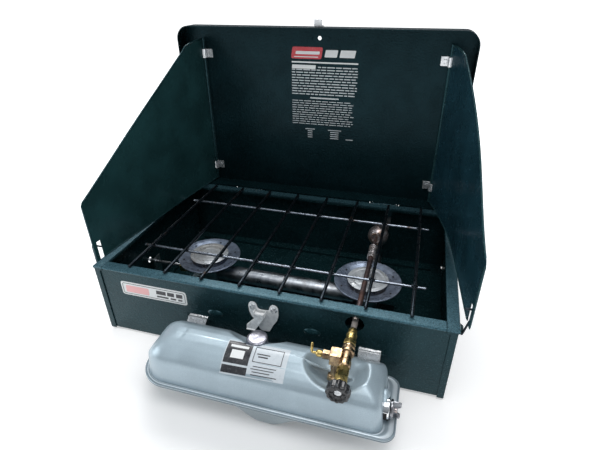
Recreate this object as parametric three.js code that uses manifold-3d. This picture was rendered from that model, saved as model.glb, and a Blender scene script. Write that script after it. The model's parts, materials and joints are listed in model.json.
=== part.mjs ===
// Two-burner liquid-fuel camp stove in a folding case, standing open.
// Millimetres, +X to the right along the front, +Y to the back, +Z up.
// The origin is the middle of the flat base the case stands on.

import * as THREE from 'three';
import { mergeVertices } from 'three/addons/utils/BufferGeometryUtils.js';
import Module from 'manifold-3d';

const wasm = await Module();
wasm.setup();

// ---- driving dimensions ----------------------------------------------------

const CASE_W = 457;
const CASE_D = 274;
const CASE_H = 109;
const SHEET = 1.2;
const GAP = 0.3;
const FLOOR_Z = 4;
const RIM_W = 12;
const BEAD_R = 2;
const FLANGE = 8;
const FOOT_INSET = 16;

const HINGE_Y = 142.2;
const HINGE_Z = 106.6;
const HINGE_X = 120;

const LID_W = 447;
const LID_H = 263;
const LID_DEPTH = 26.4;
const LID_FRONT_Y = 139.6;
const LID_BOTTOM_Z = 110;

const BAFFLE_X = 190;
const BAFFLE_REACH = 298;
const FLARE_DEG = { left: 6.3, right: 9.2 };
const BAFFLE_BOTTOM_Z = 114.3;
const BAFFLE_LEFT_Y = 160.2;
const BAFFLE_RIGHT_Y = 156.2;

const BURNER_X = 119;
const BURNER_Y = -29;
const GAS_Z = 46;

const GENERATOR_X = 118;
const GENERATOR_Z = 91;

const TANK_X = 27;
const TANK_Y = -189;
const TANK_W = 300;
const TANK_D = 84;
const SEAM_Z = 30;
const TANK_TOP_Z = 79;
const TANK_SHEET = 1.5;
const HANGER_SPREAD = 111;
const HANGER_Z = 54;
const CAP = { x: 10.5, y: -169, seatZ: 60 };

const LATCH_X = 7.5;
const LOUVRES = [-58.5, 68];

const halfW = CASE_W / 2;
const halfD = CASE_D / 2;
const floorTop = FLOOR_Z + SHEET;
const lidTopZ = LID_BOTTOM_Z + LID_H;
const lidBackY = LID_FRONT_Y + LID_DEPTH;
const lidInnerY = lidBackY - SHEET;

// ---- finishes --------------------------------------------------------------

function finish(color, roughness, metalness) {
  return new THREE.MeshStandardMaterial({ color, roughness, metalness });
}

const greenEnamel = finish(0x12322f, 0.25, 0.1);
const zinc = finish(0xb9bdc2, 0.38, 0.9);
const darkSteel = finish(0x3a4048, 0.45, 0.9);
const stainless = finish(0xc3c8d2, 0.3, 0.95);
const tankPaint = finish(0xa9b8c2, 0.35, 0.6);
const brass = finish(0xb08a3c, 0.35, 0.95);
const agedBrass = finish(0x7d5a36, 0.5, 0.85);
const heatedSteel = finish(0x6b4a3c, 0.55, 0.8);
const chrome = finish(0xd4dae2, 0.12, 1.0);
const blackPlastic = finish(0x15171a, 0.4, 0.0);
const leather = finish(0x4a3526, 0.8, 0.0);
const rubber = finish(0x1c1c1c, 0.8, 0.0);

// ---- solids ----------------------------------------------------------------

function solidOf(geometry) {
  const plain = geometry.clone();
  plain.deleteAttribute('normal');
  plain.deleteAttribute('uv');
  const merged = mergeVertices(plain, 1e-4);
  const corners = merged.index.array;
  const triangles = [];
  for (let i = 0; i < corners.length; i += 3) {
    const [a, b, c] = [corners[i], corners[i + 1], corners[i + 2]];
    if (a !== b && b !== c && c !== a) triangles.push(a, b, c);
  }
  const vertProperties = new Float32Array(merged.attributes.position.array);
  if (signedVolume(vertProperties, triangles) < 0) triangles.reverse();
  const triVerts = new Uint32Array(triangles);
  return new wasm.Manifold(new wasm.Mesh({ numProp: 3, vertProperties, triVerts }));
}

function signedVolume(points, triangles) {
  const [a, b, c] = [new THREE.Vector3(), new THREE.Vector3(), new THREE.Vector3()];
  let volume = 0;
  for (let i = 0; i < triangles.length; i += 3) {
    a.fromArray(points, 3 * triangles[i]);
    b.fromArray(points, 3 * triangles[i + 1]);
    c.fromArray(points, 3 * triangles[i + 2]);
    volume += a.dot(b.cross(c)) / 6;
  }
  return volume;
}

function box(x0, x1, y0, y1, z0, z1) {
  const block = new THREE.BoxGeometry(x1 - x0, y1 - y0, z1 - z0);
  return solidOf(block.translate((x0 + x1) / 2, (y0 + y1) / 2, (z0 + z1) / 2));
}

// A round bar from one end point to the other.
function bar(start, end, radius, sides = 16) {
  const from = new THREE.Vector3(...start);
  const along = new THREE.Vector3(...end).sub(from);
  const turn = new THREE.Quaternion().setFromUnitVectors(
    new THREE.Vector3(0, 1, 0), along.clone().normalize());
  const geometry = new THREE.CylinderGeometry(radius, radius, along.length(), sides);
  geometry.applyQuaternion(turn);
  const middle = from.addScaledVector(along, 0.5);
  return solidOf(geometry.translate(middle.x, middle.y, middle.z));
}

// A profile of [radius, height] points turned about the vertical through [x, y].
function turned(profile, x, y, sides = 24) {
  const points = profile.map(([radius, height]) => new THREE.Vector2(radius, height));
  const geometry = new THREE.LatheGeometry(points, sides);
  return solidOf(geometry.rotateX(Math.PI / 2).translate(x, y, 0));
}

// A profile of [radius, distance] points turned about a line along Y through [x, z].
function turnedAlongY(profile, x, z, sides = 20) {
  const points = profile.map(([radius, distance]) => new THREE.Vector2(radius, distance));
  return solidOf(new THREE.LatheGeometry(points, sides).translate(x, 0, z));
}

function ellipsoid(x, y, z, rx, ry, rz, sides = 24) {
  const ball = new THREE.SphereGeometry(1, sides, sides / 2).rotateX(Math.PI / 2);
  return solidOf(ball.scale(rx, ry, rz).translate(x, y, z));
}

function slab(shape, z0, z1, curveSegments = 8) {
  const options = { depth: z1 - z0, bevelEnabled: false, curveSegments };
  return solidOf(new THREE.ExtrudeGeometry(shape, options).translate(0, 0, z0));
}

// A shape drawn in X and Z, given a thickness along Y.
function panel(shape, y0, y1, curveSegments = 8) {
  const options = { depth: y1 - y0, bevelEnabled: false, curveSegments };
  const geometry = new THREE.ExtrudeGeometry(shape, options);
  return solidOf(geometry.rotateX(Math.PI / 2).translate(0, y1, 0));
}

// A shape drawn in Y and Z, given a length along X.
function strip(shape, x0, x1) {
  const geometry = new THREE.ExtrudeGeometry(shape, { depth: x1 - x0, bevelEnabled: false });
  return solidOf(geometry.rotateX(Math.PI / 2).rotateZ(Math.PI / 2).translate(x0, 0, 0));
}

function roundedShape(x0, x1, y0, y1, rLeft, rRight = rLeft) {
  const shape = new THREE.Shape();
  shape.moveTo(x0 + rLeft, y0);
  shape.lineTo(x1 - rRight, y0);
  shape.absarc(x1 - rRight, y0 + rRight, rRight, -Math.PI / 2, 0, false);
  shape.lineTo(x1, y1 - rRight);
  shape.absarc(x1 - rRight, y1 - rRight, rRight, 0, Math.PI / 2, false);
  shape.lineTo(x0 + rLeft, y1);
  shape.absarc(x0 + rLeft, y1 - rLeft, rLeft, Math.PI / 2, Math.PI, false);
  shape.lineTo(x0, y0 + rLeft);
  shape.absarc(x0 + rLeft, y0 + rLeft, rLeft, Math.PI, 1.5 * Math.PI, false);
  return shape;
}

// A section swept along straight runs joined by rounded bends.
function sweep(section, points, bendRadius, steps) {
  const path = new THREE.CurvePath();
  const corners = points.map((p) => new THREE.Vector3(...p));
  let from = corners[0];
  for (let i = 1; i < corners.length - 1; i += 1) {
    const toCorner = corners[i].clone().sub(corners[i - 1]).normalize();
    const away = corners[i + 1].clone().sub(corners[i]).normalize();
    const bendStart = corners[i].clone().addScaledVector(toCorner, -bendRadius);
    const bendEnd = corners[i].clone().addScaledVector(away, bendRadius);
    path.add(new THREE.LineCurve3(from, bendStart));
    path.add(new THREE.QuadraticBezierCurve3(bendStart, corners[i], bendEnd));
    from = bendEnd;
  }
  path.add(new THREE.LineCurve3(from, corners[corners.length - 1]));
  const options = { steps, extrudePath: path, bevelEnabled: false, curveSegments: 4 };
  return solidOf(new THREE.ExtrudeGeometry(section, options));
}

function disc(radius, hole = 0) {
  const shape = new THREE.Shape();
  shape.absarc(0, 0, radius, 0, 2 * Math.PI, false);
  if (hole > 0) shape.holes.push(new THREE.Path().absarc(0, 0, hole, 0, 2 * Math.PI, true));
  return shape;
}

function wire(points, radius, bendRadius, steps) {
  return sweep(disc(radius), points, bendRadius, steps);
}

function union(solids) {
  return solids.reduce((whole, next) => whole.add(next));
}

const stove = new THREE.Group();

function addTo(group, name, solid, material) {
  const { vertProperties, triVerts } = solid.getMesh();
  const geometry = new THREE.BufferGeometry();
  geometry.setAttribute('position', new THREE.BufferAttribute(vertProperties, 3));
  geometry.setIndex(new THREE.BufferAttribute(triVerts, 1));
  geometry.computeVertexNormals();
  const mesh = new THREE.Mesh(geometry, material);
  mesh.name = name;
  group.add(mesh);
}

// ---- case ------------------------------------------------------------------

// The front and back rims are one folded strip each: a rolled outer bead, a flat
// ledge and a down-turned inner lip.
function rim(side, reach) {
  const outer = side * halfD;
  const inner = side * (halfD - RIM_W);
  const top = CASE_H - SHEET;
  const ledge = box(-reach, reach, Math.min(outer, inner), Math.max(outer, inner), top, CASE_H);
  const lipOuter = inner + side * SHEET;
  const lip = box(-reach, reach, Math.min(inner, lipOuter), Math.max(inner, lipOuter), CASE_H - 6, CASE_H);
  const beadZ = CASE_H - BEAD_R;
  return union([ledge, lip, bar([-reach, outer, beadZ], [reach, outer, beadZ], BEAD_R, 12)]);
}

function louvre(x) {
  const y = -halfD;
  const hood = ellipsoid(x, y + 0.2, 66, 11, 3.6, 5.5, 16);
  const hollow = ellipsoid(x, y + 0.2, 66, 9.8, 2.4, 4.3, 16);
  const keep = box(x - 12, x + 12, y - 5, y + 0.1, 64, 73);
  return hood.subtract(hollow).intersect(keep);
}

function caseTray() {
  const wallX = halfW - BEAD_R - GAP;
  const wallTop = CASE_H - SHEET - GAP;
  const foot = { x: wallX - FOOT_INSET + SHEET, y: halfD - FOOT_INSET + SHEET };
  const pan = box(-foot.x, foot.x, -foot.y, foot.y, 0, floorTop);
  const panHollow = box(-foot.x + SHEET, foot.x - SHEET, -foot.y + SHEET, foot.y - SHEET, SHEET, CASE_H);
  const walls = [-1, 1].map((side) => {
    const outer = side * halfD;
    const inner = side * (halfD - SHEET);
    return box(-wallX, wallX, Math.min(outer, inner), Math.max(outer, inner), FLOOR_Z, wallTop);
  });
  const floor = box(-wallX, wallX, -halfD, halfD, FLOOR_Z, floorTop).add(pan).subtract(panHollow);
  const rimX = halfW - RIM_W - GAP - 0.5;
  let tray = union([floor, ...walls, rim(-1, rimX), rim(1, rimX)]);
  LOUVRES.forEach((x) => {
    tray = tray.subtract(box(x - 9, x + 9, -halfD - 1, -halfD + 3, 62, 68)).add(louvre(x));
  });
  [-1, 1].forEach((side) => {
    const x = TANK_X + side * HANGER_SPREAD;
    tray = tray.subtract(box(x - 16, x + 16, -halfD - 1, -halfD + 3, HANGER_Z - 1.5, HANGER_Z + 3.5));
  });
  const opening = bar([GENERATOR_X, -halfD - 5, GENERATOR_Z], [GENERATOR_X, -halfD + 5, GENERATOR_Z], 11, 24);
  return tray.subtract(opening);
}

// An end panel closes one side and wraps round onto the front, the back and the base.
function endPanel(side) {
  const outer = side * halfW;
  const span = (a, b, y0, y1, z0, z1) => {
    const xs = [outer - side * a, outer - side * b].sort((p, q) => p - q);
    return box(xs[0], xs[1], y0, y1, z0, z1);
  };
  const wrapY = halfD + GAP + SHEET;
  const baseZ = FLOOR_Z - GAP - SHEET;
  const plate = span(SHEET, 0, -wrapY, wrapY, baseZ, CASE_H);
  const ledge = span(RIM_W, 0, -wrapY, wrapY, CASE_H - SHEET, CASE_H);
  const lip = span(RIM_W, RIM_W - SHEET, -halfD + RIM_W + 1, halfD - RIM_W - 1, CASE_H - 6, CASE_H);
  const baseFold = span(FLANGE + 2, 0, -halfD + 6, halfD - 6, baseZ, baseZ + SHEET);
  const folds = [-1, 1].map((way) => {
    const ys = [way * wrapY, way * (wrapY - SHEET)].sort((p, q) => p - q);
    return span(FLANGE, 0, ys[0], ys[1], baseZ, CASE_H);
  });
  const corners = [-1, 1].map((way) => {
    const ys = [way * wrapY, way * (wrapY - SHEET)].sort((p, q) => p - q);
    return span(RIM_W, 0, ys[0], ys[1], CASE_H - 6, CASE_H);
  });
  const beadZ = CASE_H - BEAD_R;
  const bead = bar([outer, -wrapY, beadZ], [outer, wrapY, beadZ], BEAD_R, 12);
  return union([plate, ledge, lip, baseFold, bead, ...folds, ...corners]);
}

addTo(stove, 'case_tray', caseTray(), greenEnamel);
const rodHole = bar([-halfW - 5, BURNER_Y, GAS_Z], [-halfW + 5, BURNER_Y, GAS_Z], 4.5, 16);
addTo(stove, 'end_panel_left', endPanel(-1).subtract(rodHole), greenEnamel);
addTo(stove, 'end_panel_right', endPanel(1), greenEnamel);

// ---- lid hinges ------------------------------------------------------------

const KNUCKLE_HALF = 20;
const KNUCKLE_R = 2.8;
const PIN_R = 1.2;

function hingeLeaf(x) {
  const [x0, x1] = [x - KNUCKLE_HALF, x + KNUCKLE_HALF];
  const y0 = halfD + GAP;
  const backY = HINGE_Y - KNUCKLE_R;
  const leaf = box(x0, x1, y0, y0 + SHEET, 82, 103);
  const step = box(x0, x1, y0, backY + SHEET, 101.8, 103);
  const riser = box(x0, x1, backY, backY + SHEET, 101.8, HINGE_Z);
  const knuckle = bar([x0, HINGE_Y, HINGE_Z], [x1, HINGE_Y, HINGE_Z], KNUCKLE_R, 16);
  const bore = bar([x0 - 1, HINGE_Y, HINGE_Z], [x1 + 1, HINGE_Y, HINGE_Z], PIN_R + GAP, 12);
  return union([leaf, step, riser, knuckle]).subtract(bore);
}

function hingePin(x) {
  const tabIn = KNUCKLE_HALF + GAP + 0.1;
  const tabOut = tabIn + 3;
  const tabs = [-1, 1].map((side) => {
    const xs = [x + side * tabIn, x + side * tabOut].sort((p, q) => p - q);
    return box(xs[0], xs[1], HINGE_Y - 2, HINGE_Y + 2, HINGE_Z - 2, LID_BOTTOM_Z - GAP);
  });
  return bar([x - tabOut, HINGE_Y, HINGE_Z], [x + tabOut, HINGE_Y, HINGE_Z], PIN_R, 12).add(union(tabs));
}

[['left', -HINGE_X], ['right', HINGE_X]].forEach(([side, x]) => {
  addTo(stove, `hinge_leaf_${side}`, hingeLeaf(x), greenEnamel);
  addTo(stove, `hinge_pin_${side}`, hingePin(x), greenEnamel);
});

// ---- lid -------------------------------------------------------------------

const LID_CORNER = 20;
const SKIRTS = [[-215, -144], [-96, 96], [144, 215]];

// The lid is a shallow pressed tray: its two far corners are rounded.
function lidOutline(inset) {
  const x = LID_W / 2 - inset;
  const [z0, z1] = [LID_BOTTOM_Z + inset, lidTopZ - inset];
  const r = LID_CORNER - inset;
  const shape = new THREE.Shape();
  shape.moveTo(-x, z0);
  shape.lineTo(x, z0);
  shape.lineTo(x, z1 - r);
  shape.absarc(x - r, z1 - r, r, 0, Math.PI / 2, false);
  shape.lineTo(-x + r, z1);
  shape.absarc(-x + r, z1 - r, r, Math.PI / 2, Math.PI, false);
  shape.lineTo(-x, z0);
  return shape;
}

const strikeZ = lidTopZ - 16;

// The near edge turns down behind the case's rim between and beside the hinges, and
// two rivets beside the peephole hold the strike.
function lidPanel() {
  const tray = panel(lidOutline(0), LID_FRONT_Y, lidBackY, 5);
  const hollow = panel(lidOutline(SHEET), LID_FRONT_Y - 1, lidInnerY, 5);
  const peephole = bar([0, LID_FRONT_Y, strikeZ], [0, lidBackY + 5, strikeZ], 3, 16);
  const skirts = SKIRTS.map(([x0, x1]) => box(x0, x1, LID_FRONT_Y, LID_FRONT_Y + SHEET,
    HINGE_Z + 0.6, LID_BOTTOM_Z + 0.5));
  const rivets = [-13, 13].map((x) => bar([x, lidInnerY - 1.2, strikeZ], [x, lidInnerY + 0.3, strikeZ], 2.6, 12));
  return union([tray.subtract(hollow).subtract(peephole), ...skirts, ...rivets]);
}

// The strike hooks over the lid's edge, so that the latch can catch it.
function strike() {
  const y0 = lidBackY + GAP;
  const plate = box(-20, 20, y0, y0 + SHEET, lidTopZ - 24, lidTopZ - 4);
  const neck = box(-6, 6, y0, y0 + SHEET, lidTopZ - 5, lidTopZ + GAP + SHEET);
  const tipY = lidBackY - 12;
  const fold = box(-6, 6, tipY, y0 + SHEET, lidTopZ + GAP, lidTopZ + GAP + SHEET);
  const hook = box(-6, 6, tipY, tipY + SHEET, lidTopZ + GAP, lidTopZ + 10);
  const hole = bar([0, y0 - 1, strikeZ], [0, y0 + 5, strikeZ], 3, 16);
  return union([plate, neck, fold, hook]).subtract(hole);
}

addTo(stove, 'lid_panel', lidPanel(), greenEnamel);
addTo(stove, 'lid_strike', strike(), zinc);

// ---- wind baffles ----------------------------------------------------------

const BAFFLE_T = 1;
const CLIP_Z = [331, 140];
const CLIP_HALF = 6.5;
const WINDOW_REACH = 5.2;
const BARREL_R = 2;
const HEEL_Z = 354;
const SHOULDER = { reach: 48, z: 347 };
const TOE_Z = 198;
const NOTCH = { near: 284.8, far: 291.6, top: 141 };

// The outline is drawn with its hinge edge on x = 0 and the free edge at x = reach.
function baffleOutline() {
  const shape = new THREE.Shape();
  shape.moveTo(0, BAFFLE_BOTTOM_Z);
  shape.lineTo(NOTCH.near, BAFFLE_BOTTOM_Z);
  const middle = (NOTCH.near + NOTCH.far) / 2;
  shape.lineTo(NOTCH.near, NOTCH.top - 3);
  shape.quadraticCurveTo(NOTCH.near, NOTCH.top, middle, NOTCH.top);
  shape.quadraticCurveTo(NOTCH.far, NOTCH.top, NOTCH.far, NOTCH.top - 3);
  shape.lineTo(NOTCH.far, BAFFLE_BOTTOM_Z);
  shape.lineTo(BAFFLE_REACH - 3, BAFFLE_BOTTOM_Z);
  shape.quadraticCurveTo(BAFFLE_REACH, BAFFLE_BOTTOM_Z, BAFFLE_REACH, BAFFLE_BOTTOM_Z + 3);
  shape.lineTo(BAFFLE_REACH, TOE_Z - 5);
  shape.quadraticCurveTo(BAFFLE_REACH, TOE_Z, BAFFLE_REACH - 5, TOE_Z + 3);
  shape.lineTo(SHOULDER.reach + 6, SHOULDER.z - 3.5);
  shape.quadraticCurveTo(SHOULDER.reach, SHOULDER.z, SHOULDER.reach - 10, SHOULDER.z + 2);
  shape.quadraticCurveTo(20, HEEL_Z, 0, HEEL_Z);
  return shape;
}

// A baffle stands forward from its hinge and flares a little outwards.
// Its sheet is cut away round each clip, where only the rolled hinge edge is left.
function baffle(side, hingeY, flare) {
  const sheet = panel(baffleOutline(), -BAFFLE_T / 2, BAFFLE_T / 2, 3);
  const half = CLIP_HALF + 0.8;
  const windows = CLIP_Z.map((z) => box(-1, WINDOW_REACH, -2, 2, z - half, z + half));
  const barrel = bar([0, 0, BAFFLE_BOTTOM_Z], [0, 0, HEEL_Z], BARREL_R, 12);
  const turn = -90 + side * flare;
  return sheet.subtract(union(windows)).add(barrel).rotate([0, 0, turn])
    .translate([side * BAFFLE_X, hingeY, 0]);
}

// A clip is riveted to the lid and curls right round the baffle's rolled hinge edge.
function baffleClip(side, hingeY, z) {
  const half = CLIP_HALF;
  const y1 = lidInnerY - GAP;
  const x = side * BAFFLE_X;
  const bore = BARREL_R + GAP + 0.1;
  const outer = bore + SHEET;
  const across = (a, b, y0, yEnd) => {
    const xs = [x - side * a, x - side * b].sort((p, q) => p - q);
    return box(xs[0], xs[1], y0, yEnd, z - half, z + half);
  };
  const rod = (radius, reach) => bar([x, hingeY, z - reach], [x, hingeY, z + reach], radius, 16);
  const curl = rod(outer, half).subtract(rod(bore, half + 1));
  const stem = across(-bore - 0.05, -outer, hingeY, y1);
  const plate = across(13, -outer, y1 - SHEET, y1);
  const rivetX = x - side * 7;
  const rivet = bar([rivetX, y1 - SHEET - 1, z], [rivetX, y1 - 0.5, z], 3, 12);
  return union([curl, stem, plate, rivet]);
}

[['left', -1, BAFFLE_LEFT_Y], ['right', 1, BAFFLE_RIGHT_Y]].forEach(([name, side, hingeY]) => {
  addTo(stove, `baffle_${name}`, baffle(side, hingeY, FLARE_DEG[name]), greenEnamel);
  addTo(stove, `baffle_clip_${name}_upper`, baffleClip(side, hingeY, CLIP_Z[0]), zinc);
  addTo(stove, `baffle_clip_${name}_lower`, baffleClip(side, hingeY, CLIP_Z[1]), zinc);
});

// ---- hook wires that hold the baffles out ----------------------------------

const HOOK_X = 233;
const HOOK_R = 1.2;
const HOOK_FOOT_Z = 96;
const HOOK_TOP_Z = 133;
const HOOKS = {
  left: { side: -1, y: -126.3, topX: 233, arm: 14 },
  right: { side: 1, y: -128.3, topX: 239.5, arm: 8 },
};

// The bracket's eye carries the wire's foot, so that the wire can swing out sideways.
function hookBracket({ side, y }) {
  const [y0, y1] = [y + 4, y + 14];
  const plateXs = [side * (halfW + GAP), side * (halfW + GAP + SHEET)].sort((p, q) => p - q);
  const plate = box(plateXs[0], plateXs[1], y0 - 2, y1 + 2, 84, 103);
  const webXs = [side * (halfW + GAP), side * (HOOK_X - 1)].sort((p, q) => p - q);
  const web = box(webXs[0], webXs[1], y0, y1, HOOK_FOOT_Z - 3, HOOK_FOOT_Z + 1);
  const rod = (radius, extra) => bar([side * HOOK_X, y0 - extra, HOOK_FOOT_Z],
    [side * HOOK_X, y1 + extra, HOOK_FOOT_Z], radius, 16);
  return union([plate, web, rod(2.9, 0)]).subtract(rod(HOOK_R + 0.4, 1));
}

function hookWire({ side, y, topX, arm }) {
  const points = [
    [side * HOOK_X, y + 17, HOOK_FOOT_Z],
    [side * HOOK_X, y, HOOK_FOOT_Z],
    [side * topX, y, HOOK_TOP_Z - 8],
    [side * topX, y, HOOK_TOP_Z],
    [side * (topX - arm), y, HOOK_TOP_Z],
  ];
  return wire(points, HOOK_R, 2.5, 20);
}

Object.entries(HOOKS).forEach(([name, hook]) => {
  addTo(stove, `hook_bracket_${name}`, hookBracket(hook), darkSteel);
  addTo(stove, `hook_wire_${name}`, hookWire(hook), darkSteel);
});

// ---- latch -----------------------------------------------------------------

const LATCH_PIVOT = { x: LATCH_X - 3.5, y: -halfD - 5.2, z: 84 };
const PLATE_HALF = 19;
const EYE_HALF = 6;
const LEVER_REACH = 28;

// Two riveted lobes joined by a lower bridge that carries the lever's ears.
function latchPlate() {
  const y1 = -halfD - GAP;
  const [left, right] = [LATCH_X - PLATE_HALF, LATCH_X + PLATE_HALF];
  const shape = new THREE.Shape();
  shape.moveTo(left, 94);
  shape.lineTo(left, 83);
  shape.quadraticCurveTo(left + 1, 76, left + 10, 71);
  shape.lineTo(LATCH_X - 6, 56);
  shape.quadraticCurveTo(LATCH_X - 5, 54, LATCH_X - 3, 54);
  shape.lineTo(LATCH_X + 7, 54);
  shape.lineTo(right - 7, 66);
  shape.quadraticCurveTo(right, 76, right, 83);
  shape.lineTo(right, 94);
  shape.quadraticCurveTo(right - 1, 97, right - 5, 97);
  shape.quadraticCurveTo(right - 10, 97, right - 11, 93);
  shape.quadraticCurveTo(right - 13, 87, LATCH_X, 87);
  shape.quadraticCurveTo(left + 13, 87, left + 11, 93);
  shape.quadraticCurveTo(left + 10, 97, left + 5, 97);
  shape.quadraticCurveTo(left + 1, 97, left, 94);
  const plate = panel(shape, y1 - SHEET, y1, 5);
  const rivets = [-13.5, 13.5].map((dx) => {
    const x = LATCH_X + dx;
    const head = bar([x, y1 - SHEET - 1.6, 90], [x, y1 - 0.5, 90], 3.6, 14);
    return head.subtract(bar([x, y1 - SHEET - 2, 90], [x, y1 - SHEET - 0.6, 90], 1.9, 12));
  });
  const earX = EYE_HALF + GAP + 0.5;
  const ears = [-1, 1].map((way) => {
    const x = LATCH_PIVOT.x + way * earX;
    return box(x - 0.5, x + 0.5, LATCH_PIVOT.y - 2, y1, LATCH_PIVOT.z - 3, LATCH_PIVOT.z + 3);
  });
  const pin = bar([LATCH_PIVOT.x - earX, LATCH_PIVOT.y, LATCH_PIVOT.z],
    [LATCH_PIVOT.x + earX, LATCH_PIVOT.y, LATCH_PIVOT.z], 0.9, 10);
  return union([plate, ...rivets, ...ears, pin]);
}

// The lever hangs from its pin, leans to the left of the filler cap, and its tip is
// turned outwards for the thumb.
function latchLever() {
  const { x, y, z } = LATCH_PIVOT;
  const [left, right] = [CAP.x - 25, CAP.x - 13.4];
  const shape = new THREE.Shape();
  shape.moveTo(x - EYE_HALF, z);
  shape.lineTo(x - EYE_HALF, z - 4);
  shape.lineTo(left, z - 18);
  shape.lineTo(left, z - LEVER_REACH);
  shape.lineTo(right, z - LEVER_REACH);
  shape.lineTo(right, z - 16);
  shape.lineTo(x + EYE_HALF, z - 6);
  shape.lineTo(x + EYE_HALF, z);
  const strap = panel(shape, y - 1.2, y);
  const eye = bar([x - EYE_HALF, y, z], [x + EYE_HALF, y, z], 2.4, 14);
  const tip = box(left, right, y - 3.2, y, z - LEVER_REACH, z - LEVER_REACH + 2.2);
  const bore = bar([x - EYE_HALF - 1, y, z], [x + EYE_HALF + 1, y, z], 1.25, 12);
  return union([eye, strap, tip]).subtract(bore);
}

addTo(stove, 'latch_plate', latchPlate(), zinc);
addTo(stove, 'latch_lever', latchLever(), zinc);

// ---- grate -----------------------------------------------------------------

const GRATE_PITCH = 51.2;
const LONG_WIRE_R = 2.15;
const CROSS_WIRE_R = 1.8;
const GRATE_Z = CASE_H + LONG_WIRE_R + 0.4;

// The long wires are pressed a little into the cross wires where they are welded.
function grate() {
  const bars = [];
  for (let i = 0; i < 8; i += 1) {
    const x = (i - 3.5) * GRATE_PITCH;
    bars.push(bar([x, -halfD + 8, GRATE_Z], [x, halfD - 8, GRATE_Z], LONG_WIRE_R, 10));
  }
  [-73, 71].forEach((y) => {
    const z = GRATE_Z - LONG_WIRE_R - CROSS_WIRE_R + 0.8;
    bars.push(bar([-192, y, z], [192, y, z], CROSS_WIRE_R, 8));
  });
  return union(bars);
}

addTo(stove, 'grate', grate(), darkSteel);

// ---- burners ---------------------------------------------------------------

const CUP_R = 16;
const DISH_R = 46;

function burnerRail() {
  const top = 26;
  const [half, depth] = [158, 15];
  const outer = box(-half, half, BURNER_Y - depth, BURNER_Y + depth, SHEET + GAP, top);
  const inner = box(-half - 1, half + 1, BURNER_Y - depth + SHEET, BURNER_Y + depth - SHEET, 0, top - SHEET);
  return outer.subtract(inner);
}

function burnerCup(x) {
  const profile = [[0, 26.3], [CUP_R, 26.3], [CUP_R, 60], [30, 66], [30, 67.2], [15, 61.2], [14.6, 28], [0, 28]];
  return turned(profile, x, BURNER_Y, 16);
}

function burnerDish(x) {
  const profile = [
    [15.5, 67.6], [33, 67.6], [41, 73], [DISH_R, 74.6], [DISH_R, 75.8], [40.5, 74.2], [32.5, 68.8], [15.5, 68.8],
    [15.5, 67.6],
  ];
  let dish = turned(profile, x, BURNER_Y, 20);
  for (let i = 0; i < 6; i += 1) {
    const angle = (i + 0.5) * Math.PI / 3;
    const [hx, hy] = [x + 37 * Math.cos(angle), BURNER_Y + 37 * Math.sin(angle)];
    dish = dish.subtract(bar([hx, hy, 60], [hx, hy, 80], 1.6, 8));
  }
  return dish;
}

function burnerRings(x) {
  const profile = [
    [9, 69.1], [28, 69.1], [28, 70.6], [26, 71], [26, 71.6], [28, 72], [28, 73.4], [26, 73.8], [26, 74.4],
    [28, 74.8], [28, 76], [9, 76], [9, 69.1],
  ];
  return turned(profile, x, BURNER_Y, 16);
}

function burnerCap(x) {
  const profile = [
    [0, 66], [2, 66], [2, 76.4], [29.5, 76.4], [29.5, 77.4], [23, 78.2], [20, 77.6], [12, 78.6], [4, 78.6],
    [3.4, 80], [0, 80],
  ];
  return turned(profile, x, BURNER_Y, 16);
}

addTo(stove, 'burner_rail', burnerRail(), greenEnamel);
[['left', -BURNER_X], ['right', BURNER_X]].forEach(([side, x]) => {
  addTo(stove, `burner_cup_${side}`, burnerCup(x), stainless);
  addTo(stove, `burner_dish_${side}`, burnerDish(x), stainless);
  addTo(stove, `burner_rings_${side}`, burnerRings(x), stainless);
  addTo(stove, `burner_cap_${side}`, burnerCap(x), stainless);
});

// ---- gas path --------------------------------------------------------------

const BOWL = { x: 120, y: 74, z: 86, r: 16 };

function pipe(points, radius, bore, bendRadius, steps) {
  return sweep(disc(radius, bore), points, bendRadius, steps);
}

const manifoldEnd = BURNER_X - CUP_R - GAP;
addTo(stove, 'manifold_tube',
  pipe([[-manifoldEnd, BURNER_Y, GAS_Z], [manifoldEnd, BURNER_Y, GAS_Z]], 12, 10.6, 1, 1), zinc);

function mixingBowl() {
  const { x, y, z, r } = BOWL;
  const shell = ellipsoid(x, y, z, r, r, r, 20).subtract(ellipsoid(x, y, z, r - 1.4, r - 1.4, r - 1.4, 20));
  const intake = bar([x, y - r - 2, z + 3], [x, y, z + 3], 8.6, 16);
  const outlet = box(x - 20, x + 20, y - 20, y + 20, z - 20, z - 14);
  const tab = box(x - 3, x + 3, y - 1, y + 1.5, z + r - 1.2, z + r + 7);
  return shell.subtract(intake).subtract(outlet).add(tab);
}

const tubeTop = BOWL.z - 14 - GAP;
const mixingRoute = [
  [BOWL.x, BOWL.y, tubeTop],
  [BOWL.x, BOWL.y, GAS_Z],
  [BOWL.x, BURNER_Y + CUP_R + 0.8, GAS_Z],
];

function bowlBracket() {
  const wallY = halfD - SHEET - GAP;
  const strapX = [BOWL.x + 4, BOWL.x + 14];
  const arm = box(...strapX, BOWL.y + 15.5, wallY, 88, 89.2);
  const foot = box(...strapX, wallY - SHEET, wallY, 72, 89.2);
  const front = box(...strapX, BOWL.y + 15.5, BOWL.y + 16.7, 88, 98);
  return union([arm, foot, front]);
}

addTo(stove, 'mixing_bowl', mixingBowl(), heatedSteel);
addTo(stove, 'mixing_tube', pipe(mixingRoute, 9, 7.6, 14, 12), zinc);
addTo(stove, 'bowl_bracket', bowlBracket(), zinc);

// ---- valve for the left burner ---------------------------------------------

const auxStart = -BURNER_X - CUP_R - GAP;
const auxBodyEnd = auxStart - 34;

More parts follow.
